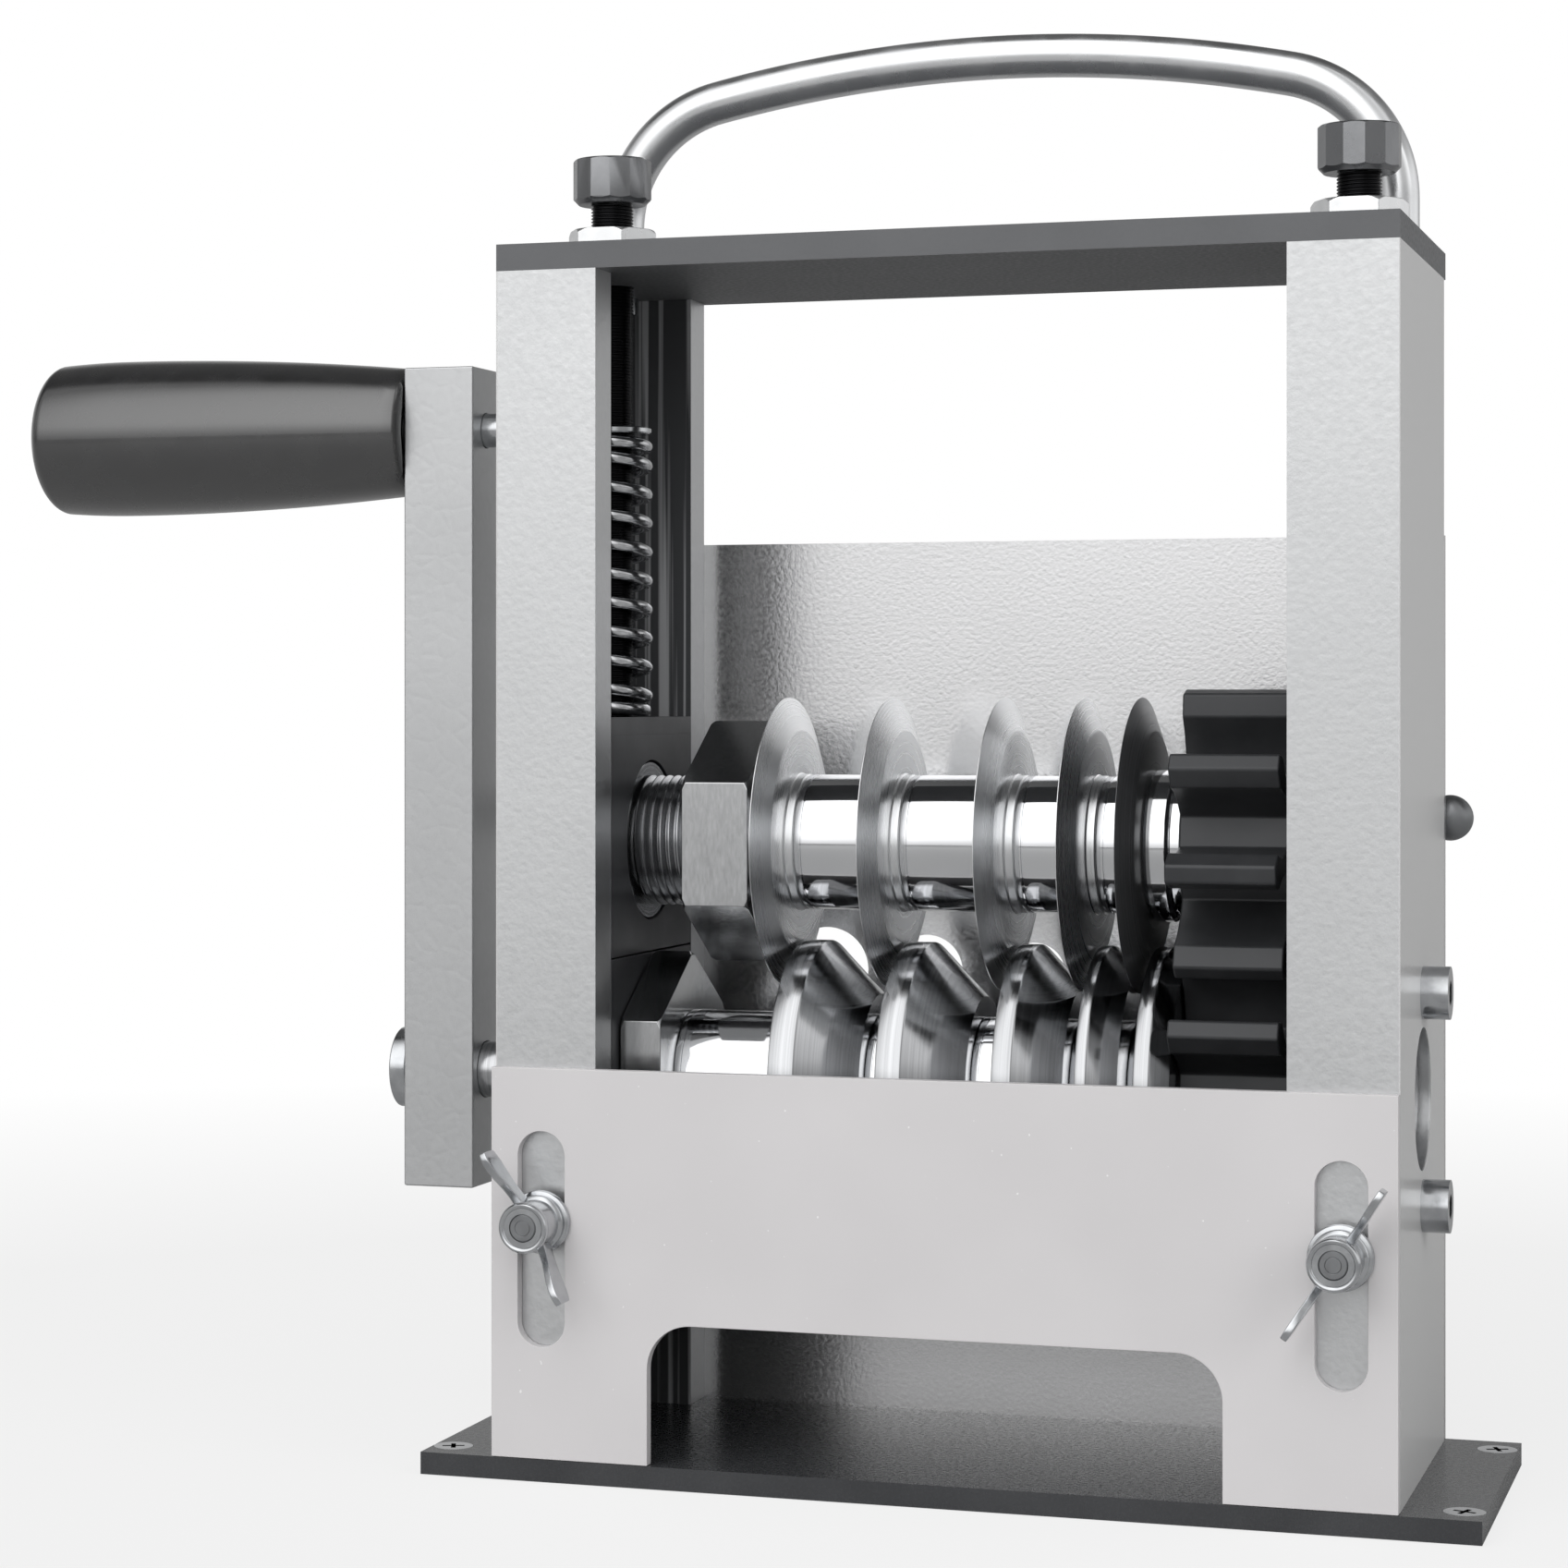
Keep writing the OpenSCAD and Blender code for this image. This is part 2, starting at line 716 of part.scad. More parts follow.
// Large hexagon nut with chamfered corners, one flat towards the front
module shaft_nut(x, width, across_flats, z) {
  seam_turn = 15;   // keeps the cones' seams away from the corners
  face_r = across_flats / sqrt(3) - 0.8;
  difference() {
    intersection() {
      along_x(x, x + width, z) rotate(30) hexagon(across_flats);
      translate([x, 0, z]) rotate([0, 90, 0]) rotate(seam_turn)
        cylinder(r1 = face_r, r2 = face_r + width, h = width);
      translate([x, 0, z]) rotate([0, 90, 0]) rotate(seam_turn)
        cylinder(r1 = face_r + width, r2 = face_r, h = width);
    }
    rod_x(thread_r + fit, x - 1, x + width + 1, 0, z);
  }
}

module cutter_nut() {
  color("#8a8c8f")
    shaft_nut(cutter_nut_x, cutter_nut_w, cutter_nut_af, cutter_z);
}

// Disc with one flat side, bevelled to a sharp edge from the other
module blade(i) {
  x = blade_x[i];
  bore = shaft_r + fit;
  color("#b4b6b8") turned_x(cutter_z) polygon([
    [x, bore], [x, blade_r], [x + 0.15, blade_r], [x + blade_t, bevel_r],
    [x + blade_t, hub_r], [x + blade_t + hub_w, hub_r], [x + blade_t + hub_w, bore]]);
}

module blade_1() { blade(0); }

module blade_2() { blade(1); }

module blade_3() { blade(2); }

module blade_4() { blade(3); }

// The last blade has no hub, since the collar takes its place
module blade_5() {
  x = blade_5_x;
  bore = shaft_r + fit;
  color("#6c6e71") turned_x(cutter_z) polygon([
    [x, bore], [x, blade_r], [x + 0.15, blade_r], [x + blade_t, bevel_r], [x + blade_t, bore]]);
}

module spacer(x0, x1, z) {
  bore = shaft_r + fit;
  turned_x(z) polygon([
    [x0, bore], [x0, spacer_r - 0.4], [x0 + 0.4, spacer_r], [x1 - 0.4, spacer_r],
    [x1, spacer_r - 0.4], [x1, bore]]);
}

module cutter_spacers() {
  color("#d2d3d5") {
    spacer(blade_1_x - washer_w, blade_1_x, cutter_z);
    for (i = [0:3]) spacer(blade_x[i] + blade_t + hub_w, blade_x[i + 1], cutter_z);
  }
}

// Stepped collar between the last blade and the gear
module cutter_collar() {
  x0 = blade_5_x + blade_t;
  bore = shaft_r + fit;
  color("#bcbec0") turned_x(cutter_z) polygon([
    [x0, bore], [x0, collar_r - 0.8], [x0 + 0.8, collar_r], [x0 + 4.9, collar_r],
    [x0 + 5.6, collar_r - 0.8], [x0 + 5.6, spacer_r], [gear_x - 0.4, spacer_r],
    [gear_x, spacer_r - 0.4], [gear_x, bore]]);
}

module snap_ring(z) {
  x0 = gear_x + gear_w;
  difference() {
    rod_x(ring_r, x0, x0 + ring_t, 0, z);
    rod_x(shaft_r + fit, x0 - 1, x0 + ring_t + 1, 0, z);
    span_box([x0 - 1, -2, z - ring_r - 1], [x0 + ring_t + 1, 2, z]);
  }
}

module cutter_snap_ring() {
  color("#5a5c5f") snap_ring(cutter_z);
}

module drive_snap_ring() {
  color("#5a5c5f") snap_ring(drive_z);
}

// Half of a tooth's outline, from its foot to its tip
half_tooth = [
  [tooth_foot, gear_root_r], [tooth_low, gear_root_r + tooth_deep / 4],
  [tooth_mid, gear_root_r + tooth_deep / 2], [tooth_high, gear_root_r + tooth_deep * 0.75],
  [tooth_tip, gear_tip_r - tooth_bevel], [tooth_tip - tooth_bevel, gear_tip_r]];

function turn_left(point, angle) = [
  point.x * cos(angle) - point.y * sin(angle),
  point.x * sin(angle) + point.y * cos(angle)];

// Outline of the whole gear, counterclockwise, with one tooth at the given lean
function gear_outline(lean) = [
  for (k = [0:gear_teeth - 1]) let (angle = lean + k * 360 / gear_teeth) each [
    for (point = half_tooth) turn_left(point, angle),
    for (i = [len(half_tooth) - 1:-1:0]) turn_left([-half_tooth[i].x, half_tooth[i].y], angle),
    turn_left([0, gear_root_r], angle + 180 / gear_teeth)]];

// Long-toothed gear, so that it stays in mesh while the carriage lifts
module gear(z, lean) {
  color("#2b2c2e") difference() {
    along_x(gear_x, gear_x + gear_w, z) polygon(gear_outline(lean));
    rod_x(shaft_r + fit, gear_x - 1, gear_x + gear_w + 1, 0, z);
    key_slot(gear_x - 1, gear_x + gear_w + 1, z, key_low, key_high + fit);
  }
}

module upper_gear() { gear(cutter_z, 180 - tooth_lean); }

module lower_gear() { gear(drive_z, tooth_lean + 180 / gear_teeth); }

module gear_key(z) {
  color("#8d8f91")
    span_box([key_x0, -key_w / 2, z + key_low + fit], [key_x1, key_w / 2, z + key_high]);
}

module upper_key() { gear_key(cutter_z); }

module lower_key() { gear_key(drive_z); }

// Drive shaft and what turns with it

module drive_shaft() {
  color("#9fa1a4") difference() {
    union() {
      rod_x(shaft_r, -half_w - 2, half_w - 2.5, 0, drive_z);
      rod_x(thread_r, -mouth_x + rest_gap, drive_nut_x + drive_nut_w, 0, drive_z);
      rod_x(crank_seat_r, -arm_out + 0.5, -half_w - 1, 0, drive_z);
    }
    key_slot(key_x0 - fit, key_x1 + fit, drive_z, key_low, key_high);
    rod_x(bolt_core_r + fit, -arm_out - 1, -arm_in + 4, 0, drive_z);
  }
}

module drive_nut() {
  color("#8a8c8f")
    shaft_nut(drive_nut_x, drive_nut_w, drive_nut_af, drive_z);
}

// Feed disc: flat left side, straight rim, cone towards the groove on its right
module feed_disc(i) {
  x = disc_x[i];
  cone_x = x + disc_rim[i];
  last_x = cone_end(i);
  last_r = disc_r - (last_x - cone_x);
  bore = shaft_r + fit;
  color("#a3a5a8") turned_x(drive_z) polygon([
    [x, bore], [x, disc_r - 0.4], [x + 0.4, disc_r], [cone_x, disc_r], [last_x, last_r],
    [last_x, bore]]);
}

module feed_disc_1() { feed_disc(0); }

module feed_disc_2() { feed_disc(1); }

module feed_disc_3() { feed_disc(2); }

module feed_disc_4() { feed_disc(3); }

module feed_disc_5() { feed_disc(4); }

module feed_spacers() {
  color("#d2d3d5") {
    spacer(drive_nut_x + drive_nut_w, disc_x[0], drive_z);
    for (i = [0:3]) spacer(cone_end(i), disc_x[i + 1], drive_z);
  }
}

module crank_arm() {
  color("#c3c4c6") difference() {
    span_box(
      [-arm_out, -arm_w / 2, drive_z - arm_tail],
      [-arm_in, arm_w / 2, crank_z + arm_head]);
    rod_x(crank_seat_r + fit, -arm_out - 1, -arm_in + 1, 0, drive_z);
    rod_x(spindle_r + fit, -arm_out - 1, -arm_in + 1, 0, crank_z);
  }
}

module crank_bolt() {
  color("#a9abad") {
    difference() {
      rod_x(bolt_cap_r, -arm_out - bolt_cap_t, -arm_out, 0, drive_z);
      translate([-arm_out - bolt_cap_t - 1, 0, drive_z]) rotate([0, 90, 0])
        cylinder(r = bolt_cap_r * 0.36, h = bolt_cap_t / 2 + 1, $fn = 6);
    }
    rod_x(bolt_core_r, -arm_out - 1, -arm_in + 3, 0, drive_z);
  }
}

// Spindle with its head sunk in the grip's outer end and its thread through the arm
module grip_spindle() {
  color("#8d8f91") difference() {
    union() {
      rod_x(spindle_r, -grip_out + 9, -arm_in + 4.5, 0, crank_z);
      rod_x(screw_head_r, -grip_out + 4, -grip_out + 9, 0, crank_z);
    }
    span_box(
      [-grip_out + 3, -screw_head_r, crank_z - 0.6],
      [-grip_out + 5.2, screw_head_r, crank_z + 0.6]);
  }
}

// Grip: swells from its neck, then closes in a round outer end
module grip() {
  mouth_r = screw_head_r + 0.4;
  end_deep = 5.2;
  belly = -grip_out + grip_len * 0.22;
  arcs = [for (a = [0:10:90])
    [-grip_out + end_deep * (1 - cos(a)), mouth_r + (grip_r - 0.6 - mouth_r) * sin(a)]];
  neck = [for (t = [0:0.1:1])
    [belly + (-grip_in - 1 - belly) * t, grip_r - (grip_r - grip_neck_r) * t * t]];
  color("#26272a") turned_x(crank_z) polygon(concat(
    [[-grip_out + 9 + rest_gap, spindle_r + fit], [-grip_out + 9 + rest_gap, mouth_r]],
    arcs,
    neck,
    [[-grip_in, grip_neck_r - 1], [-grip_in, grip_neck_r - 4], [-grip_in - 0.8, grip_neck_r - 4.5],
     [-grip_in - 0.8, spindle_r + 4], [-grip_in, spindle_r + 3.5], [-grip_in, spindle_r + fit]]));
}

// Front plate and its clamps

module front_outline() {
  low = base_t + slide_gap;
  high = base_t + front_h;
  difference() {
    translate([-half_w, low]) square([frame_w, high - low]);
    translate([-arch_w / 2, low - 1]) square([arch_w, arch_h - arch_r + 1 - slide_gap]);
    translate([-arch_w / 2 + arch_r, low]) square([arch_w - 2 * arch_r, arch_h - slide_gap]);
    for (side = [-1, 1])
      translate([side * (arch_w / 2 - arch_r), base_t + arch_h - arch_r]) circle(r = arch_r);
    for (side = [-1, 1]) translate([side * flange_x, 0]) {
      translate([0, slot_low]) circle(r = slot_w / 2);
      translate([0, slot_high]) circle(r = slot_w / 2);
      translate([-slot_w / 2, slot_low]) square([slot_w, slot_high - slot_low]);
    }
  }
}

module front_plate() {
  color("#c9c8c9") translate([0, -half_d - slide_gap, 0]) rotate([90, 0, 0])
    linear_extrude(front_t) front_outline();
}

module washer() {
  difference() {
    rod_y(washer_r, -washer_y - washer_t, -washer_y, flange_x, stud_z);
    rod_y(stud_r + fit, -washer_y - washer_t - 1, -washer_y + 1, flange_x, stud_z);
  }
}

module left_washer() {
  color("#b9bbbd") mirror([1, 0, 0]) washer();
}

module right_washer() {
  color("#b9bbbd") washer();
}

// Wing outline as (distance from the stud's axis, distance from the washer)
module wing_outline() {
  foot_x = stud_r + 0.6;
  difference() {
    union() {
      polygon([
        [foot_x, 0.6], [foot_x, wing_foot],
        wing_tip + wing_tip_r * [-0.7, 0.76], wing_tip + wing_tip_r * [0.38, -0.92],
        [wing_tip.x * 0.58, 1.4]]);
      translate(wing_tip) circle(r = wing_tip_r);
    }
    translate([-1, -1]) square([stud_r + fit + 1, barrel_len * 2]);
  }
}

module wing_nut() {
  translate([flange_x, -wing_y, stud_z]) {
    difference() {
      rotate([90, 0, 0]) cylinder(r1 = barrel_r, r2 = barrel_r - barrel_taper, h = barrel_len);
      rod_y(stud_r + fit, -barrel_len - 1, 1);
    }
    for (flip = [0, 180]) rotate([0, wing_lean + flip, 0]) rotate([0, -90, 180])
      translate([0, 0, -wing_t / 2]) linear_extrude(wing_t) wing_outline();
  }
}

module left_wing_nut() {
  color("#aeb0b2") mirror([1, 0, 0]) wing_nut();
}

module right_wing_nut() {
  color("#aeb0b2") wing_nut();
}

// Adjusting screws

module adjuster() {
  head_z = deck_z + nut_h + head_gap;
  foot_z = pocket_z + rest_gap;
  translate([mid_x, 0, 0]) {
    translate([0, 0, foot_z]) cylinder(r = shoulder_r, h = shoulder_t);
    translate([0, 0, foot_z]) cylinder(r = screw_r, h = head_z - foot_z + 1);
    translate([0, 0, head_z]) intersection() {
      linear_extrude(head_h) rotate(180 / head_sides) circle(r = head_r, $fn = head_sides);
      cylinder(r1 = head_r - head_bevel, r2 = head_r + head_h - head_bevel, h = head_h);
    }
  }
}

module left_adjuster() {
  color("#303133") mirror([1, 0, 0]) adjuster();
}

module right_adjuster() {
  color("#303133") adjuster();
}

// Ring on the screw that closes the spring from above
module spring_ring() {
  translate([mid_x, 0, ring_z]) difference() {
    cylinder(r = spring_r - 0.3, h = spring_ring_t);
    translate([0, 0, -1]) cylinder(r = screw_r + fit, h = spring_ring_t + 2);
  }
}

module left_spring_ring() {
  color("#8d8f91") mirror([1, 0, 0]) spring_ring();
}

module right_spring_ring() {
  color("#8d8f91") spring_ring();
}

base_plate();
base_screws();
column_screws();
left_column();
right_column();
top_plate();
top_plate_screws();
rear_plate();
rear_plate_screws();
rear_guide_bar();
rear_bar_posts();
carry_handle();
handle_screws();
adjuster_nuts();
lower_blocks();
lower_bearings();
block_bolts();
guide_studs();
upper_blocks();
bushes();
left_spring();
right_spring();
keeper_plates();
keeper_screws();
cutter_shaft();
cutter_nut();
blade_1();
blade_2();
blade_3();
blade_4();
blade_5();
cutter_spacers();
cutter_collar();
cutter_snap_ring();
upper_gear();
upper_key();
drive_shaft();
drive_nut();
feed_disc_1();
feed_disc_2();
feed_disc_3();
feed_disc_4();
feed_disc_5();
feed_spacers();
drive_snap_ring();
lower_gear();
lower_key();
crank_arm();
crank_bolt();
grip_spindle();
grip();
front_plate();
left_washer();
right_washer();
left_wing_nut();
right_wing_nut();
left_adjuster();
right_adjuster();
left_spring_ring();
right_spring_ring();
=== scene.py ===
# Looks of the hand-cranked wire stripping machine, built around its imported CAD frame.
# Blender 4.5. Everything is in metres in the CAD's frame: X across, Y to the back, Z up.
import json
import math

import bpy
from mathutils import Matrix, Vector

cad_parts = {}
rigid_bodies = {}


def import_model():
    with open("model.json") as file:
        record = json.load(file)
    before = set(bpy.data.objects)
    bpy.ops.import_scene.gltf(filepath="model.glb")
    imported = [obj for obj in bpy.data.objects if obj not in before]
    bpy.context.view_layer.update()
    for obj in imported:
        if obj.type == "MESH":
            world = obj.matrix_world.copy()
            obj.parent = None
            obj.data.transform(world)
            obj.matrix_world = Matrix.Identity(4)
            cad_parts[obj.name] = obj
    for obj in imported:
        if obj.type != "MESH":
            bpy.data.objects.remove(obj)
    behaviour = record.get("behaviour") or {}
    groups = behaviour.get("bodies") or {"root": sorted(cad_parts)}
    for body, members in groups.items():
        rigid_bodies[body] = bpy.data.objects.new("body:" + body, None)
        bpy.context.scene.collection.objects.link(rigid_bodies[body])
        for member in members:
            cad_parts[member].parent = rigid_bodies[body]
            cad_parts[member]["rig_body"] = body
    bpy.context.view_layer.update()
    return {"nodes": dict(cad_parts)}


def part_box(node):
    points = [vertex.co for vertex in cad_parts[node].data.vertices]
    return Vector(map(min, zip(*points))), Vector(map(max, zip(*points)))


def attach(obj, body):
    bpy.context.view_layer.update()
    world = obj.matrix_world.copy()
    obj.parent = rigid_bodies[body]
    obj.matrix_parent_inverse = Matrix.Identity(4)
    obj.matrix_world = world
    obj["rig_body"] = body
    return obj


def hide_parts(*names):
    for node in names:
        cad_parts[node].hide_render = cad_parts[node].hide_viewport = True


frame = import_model()
nodes = frame["nodes"]
scene = bpy.context.scene
mm = 0.001
print("frame loaded:", len(nodes), "nodes")


# Places that several pieces share, read from the CAD nodes
def middle(nodeName):
    low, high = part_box(nodeName)
    return (low + high) / 2


driveZ = middle("drive_shaft").z
cutterZ = middle("cutter_shaft").z
crankZ = middle("grip").z
screwX = middle("right_adjuster").x
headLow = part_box("adjuster_nuts")[1].z / mm + 6.0      # mm, underside of the adjusting screws' heads
shaftBore = 12.55                      # mm, radius of every hole that a shaft goes through


# Colours and shader nodes
def linearColour(hexText):
    channels = []
    for k in (0, 2, 4):
        value = int(hexText[k:k + 2], 16) / 255
        channels.append(value / 12.92 if value <= 0.04045 else ((value + 0.055) / 1.055) ** 2.4)
    return (*channels, 1.0)


def addNode(tree, kind, inputs=None, **settings):
    node = tree.nodes.new(kind)
    for key, value in settings.items():
        setattr(node, key, value)
    for socket, value in (inputs or {}).items():
        if isinstance(value, bpy.types.NodeSocket):
            tree.links.new(value, node.inputs[socket])
        else:
            node.inputs[socket].default_value = value
    return node


def newMaterial(name, base, metallic, roughness):
    material = bpy.data.materials.new(name)
    material.use_nodes = True
    tree = material.node_tree
    shader = tree.nodes["Principled BSDF"]
    shader.inputs["Base Color"].default_value = linearColour(base)
    shader.inputs["Metallic"].default_value = metallic
    shader.inputs["Roughness"].default_value = roughness
    place = addNode(tree, "ShaderNodeTexCoord").outputs["Object"]
    return tree, shader, place


# A noise whose grains are about as wide as the given length, in millimetres
def grain(tree, place, width, detail=2.0, rough=0.5):
    return addNode(tree, "ShaderNodeTexNoise", {
        "Vector": place, "Scale": 1 / (width * mm * 2), "Detail": detail, "Roughness": rough}).outputs["Fac"]


def spread(tree, value, low, high, fromLow=0.3, fromHigh=0.7):
    return addNode(tree, "ShaderNodeMapRange", {
        "Value": value, "From Min": fromLow, "From Max": fromHigh,
        "To Min": low, "To Max": high}).outputs["Result"]


def mixColours(tree, share, first, second):
    node = addNode(tree, "ShaderNodeMix", {0: share}, data_type="RGBA")
    for socket, value in ((6, first), (7, second)):
        if isinstance(value, bpy.types.NodeSocket):
            tree.links.new(value, node.inputs[socket])
        else:
            node.inputs[socket].default_value = linearColour(value)
    return node.outputs[2]


def bumpFrom(tree, shader, height, depth, under=None):
    inputs = {"Height": height, "Distance": depth * mm, "Strength": 1.0}
    if under is not None:
        inputs["Normal"] = under
    bump = addNode(tree, "ShaderNodeBump", inputs).outputs["Normal"]
    tree.links.new(bump, shader.inputs["Normal"])
    return bump


def calculate(tree, operation, first, second=0.0):
    return addNode(tree, "ShaderNodeMath", {0: first, 1: second}, operation=operation).outputs[0]


# Distance along the shaft and from its centre, so that turning marks run round it
def turnedPlace(tree, place, axisZ):
    moved = addNode(tree, "ShaderNodeMapping", {"Vector": place, "Location": (0, 0, -axisZ)}).outputs["Vector"]
    parts = addNode(tree, "ShaderNodeSeparateXYZ", {"Vector": moved}).outputs
    square = calculate(tree, "ADD", calculate(tree, "MULTIPLY", parts["Z"], parts["Z"]),
                       calculate(tree, "MULTIPLY", parts["Y"], parts["Y"]))
    radius = calculate(tree, "SQRT", square)
    return addNode(tree, "ShaderNodeCombineXYZ", {"X": parts["X"], "Y": radius}).outputs["Vector"]


# Extruded aluminium profile, clear anodised: satin front with a fine orange peel, plain grey
# sides, and a channel whose walls are painted dark as painted shade, with light and dark streaks
# running up them as painted reflections. Each pair of distances from the machine's middle, in
# metres, is where one finish gives way to the next
profileFaces = {"sides": (0.0996, 0.0999), "channelEnd": (0.0961, 0.0964), "channelWall": (0.0301, 0.0304)}


def anodisedProfile():
    tree, shader, place = newMaterial("anodisedAluminiumProfile", "D0D1D2", 1.0, 0.36)
    shader.inputs["Specular IOR Level"].default_value = 0.18
    parts = addNode(tree, "ShaderNodeSeparateXYZ", {"Vector": place}).outputs
    fromMiddle = calculate(tree, "ABSOLUTE", parts["X"])
    fromPlane = calculate(tree, "ABSOLUTE", parts["Y"])
    outside = spread(tree, fromMiddle, 0, 1, *profileFaces["sides"])
    inside = calculate(tree, "MULTIPLY", spread(tree, fromPlane, 1, 0, *profileFaces["channelWall"]),
                       spread(tree, fromMiddle, 1, 0, *profileFaces["channelEnd"]))
    peel = grain(tree, place, 0.75, 3.0)
    drawn = addNode(tree, "ShaderNodeMapping", {"Vector": place, "Scale": (1, 1, 0.01)}).outputs["Vector"]
    lines = grain(tree, drawn, 0.9, 2.0)
    tint = mixColours(tree, spread(tree, grain(tree, place, 30), 0, 1), "CDCECF", "D3D4D5")
    tint = mixColours(tree, outside, tint, "C1C1C1")
    # painted shade and painted reflections: the channel's walls are painted dark, with light streaks running up them
    tint = mixColours(tree, inside, tint,
                      mixColours(tree, spread(tree, lines, 0, 1, 0.48, 0.6), "4A4B4D", "B0B1B3"))
    tree.links.new(tint, shader.inputs["Base Color"])
    notFront = calculate(tree, "MAXIMUM", outside, inside)
    smooth = calculate(tree, "SUBTRACT", 1.0, notFront)
    tree.links.new(smooth, shader.inputs["Metallic"])
    rough = addNode(tree, "ShaderNodeMix", {0: notFront, 2: spread(tree, peel, 0.32, 0.42), 3: 0.24}).outputs[0]
    tree.links.new(rough, shader.inputs["Roughness"])
    bumpFrom(tree, shader, calculate(tree, "MULTIPLY", peel, smooth), 0.045)


# Steel plate under pale grey enamel, sprayed: even satin colour, fine grit, a few light specks.
# The rear plate's is a metallic enamel, which mirrors its surroundings dimly
def enamelledPlate(name, base, dark, metallic, roughness, peelWidth, peelDepth):
    tree, shader, place = newMaterial(name, base, metallic, roughness)
    peel = grain(tree, place, peelWidth, 3.0)
    specks = spread(tree, grain(tree, place, 0.6, 1.0), 0, 0.7, 0.79, 0.82)
    tint = mixColours(tree, spread(tree, grain(tree, place, 22), 0, 1), dark, base)
    tree.links.new(mixColours(tree, specks, tint, "E4E4E4"), shader.inputs["Base Color"])
    tree.links.new(spread(tree, peel, roughness - 0.05, roughness + 0.06), shader.inputs["Roughness"])
    bumpFrom(tree, shader, peel, peelDepth)


# Dark powder coat on plate, oven cured: near-black skin with a semi-gloss and a fine pebble
def powderCoat(name, dark, light, gloss, roughness, pebble):
    tree, shader, place = newMaterial(name, dark, 0.0, roughness)
    shader.inputs["Specular IOR Level"].default_value = gloss
    peel = grain(tree, place, 0.5, 2.0)
    tint = mixColours(tree, spread(tree, grain(tree, place, 9), 0, 1), dark, light)
    tree.links.new(tint, shader.inputs["Base Color"])
    tree.links.new(spread(tree, peel, roughness * 0.85, roughness * 1.2), shader.inputs["Roughness"])
    bumpFrom(tree, shader, peel, pebble)


# Decorative chrome on buffed steel: a mirror with a faint buffing haze on the spacers, softer on
# the handle
def polishedChrome(name, base, rough):
    tree, shader, place = newMaterial(name, base, 1.0, rough)
    haze = grain(tree, place, 5, 2.0)
    tree.links.new(spread(tree, haze, rough * 0.7, rough * 1.4), shader.inputs["Roughness"])
    tint = mixColours(tree, spread(tree, grain(tree, place, 12), 0, 1), base, "E0E1E3")
    tree.links.new(tint, shader.inputs["Base Color"])


# Turned and ground carbon steel: lathe lines round the shaft, a little darker between them
def turnedSteel(name, base, dark, axisZ, metallic, rough, lineDepth):
    tree, shader, place = newMaterial(name, base, metallic, rough)
    marks = turnedPlace(tree, place, axisZ)
    lines = grain(tree, marks, 0.3, 3.0, 0.65)
    tint = mixColours(tree, spread(tree, lines, 0, 1), dark, base)
    tree.links.new(tint, shader.inputs["Base Color"])
    tree.links.new(spread(tree, lines, rough * 0.85, rough * 1.2), shader.inputs["Roughness"])
    bumpFrom(tree, shader, lines, lineDepth)


# Blued or black-oxide steel, dipped: near black with a dull sheen and worn patches. On the screws
# the thread below the given height is painted near black, a painted shade that stands in for the
# shade between its fine ridges, while the head above keeps the plain colour
def blackOxide(name, base, worn, metallic, rough, threadShadeBelow=None):
    tree, shader, place = newMaterial(name, base, metallic, rough)
    cloud = grain(tree, place, 6, 4.0, 0.6)
    fine = grain(tree, place, 0.45, 2.0)
    tint = mixColours(tree, spread(tree, cloud, 0, 1, 0.4, 0.75), base, worn)
    if threadShadeBelow:
        height = addNode(tree, "ShaderNodeSeparateXYZ", {"Vector": place}).outputs["Z"]
        # painted shade: below this height, on the thread, the colour turns near black
        tint = mixColours(tree, spread(tree, height, 1, 0, threadShadeBelow - 0.0002, threadShadeBelow), tint, "2C2C2E")
    tree.links.new(tint, shader.inputs["Base Color"])
    tree.links.new(spread(tree, cloud, rough * 0.85, rough * 1.2), shader.inputs["Roughness"])
    bumpFrom(tree, shader, fine, 0.01)


# Bright zinc plate on pressed steel: cool silver, slightly uneven gloss
def zincPlate(name, base, dull, rough):
    tree, shader, place = newMaterial(name, base, 1.0, rough)
    cloud = grain(tree, place, 1.8, 3.0)
    tree.links.new(mixColours(tree, spread(tree, cloud, 0, 1), dull, base),
                   shader.inputs["Base Color"])
    tree.links.new(spread(tree, cloud, rough * 0.7, rough * 1.4), shader.inputs["Roughness"])
    bumpFrom(tree, shader, grain(tree, place, 0.5), 0.006)


# Hard-drawn spring wire: bright, with grey draw marks
def springWire():
    tree, shader, place = newMaterial("drawnSpringWire", "D2D3D5", 1.0, 0.14)
    cloud = grain(tree, place, 1.6, 4.0, 0.7)
    tree.links.new(mixColours(tree, spread(tree, cloud, 0, 1), "A8A9AB", "DCDDDF"),
                   shader.inputs["Base Color"])
    tree.links.new(spread(tree, cloud, 0.1, 0.2), shader.inputs["Roughness"])


# Phenolic plastic grip, compression moulded and lacquered: deep black with a hard gloss
def mouldedPhenolic():
    tree, shader, place = newMaterial("mouldedPhenolicBlack", "161617", 0.0, 0.26)
    shader.inputs["Specular IOR Level"].default_value = 1.0
    shader.inputs["Coat Weight"].default_value = 0.65
    shader.inputs["Coat IOR"].default_value = 1.8
    shader.inputs["Coat Roughness"].default_value = 0.07
    cloud = grain(tree, place, 4, 3.0)
    tree.links.new(mixColours(tree, spread(tree, cloud, 0, 1), "131314", "1B1B1C"),
                   shader.inputs["Base Color"])
    tree.links.new(spread(tree, cloud, 0.22, 0.3), shader.inputs["Roughness"])
    bumpFrom(tree, shader, grain(tree, place, 1.5), 0.003)


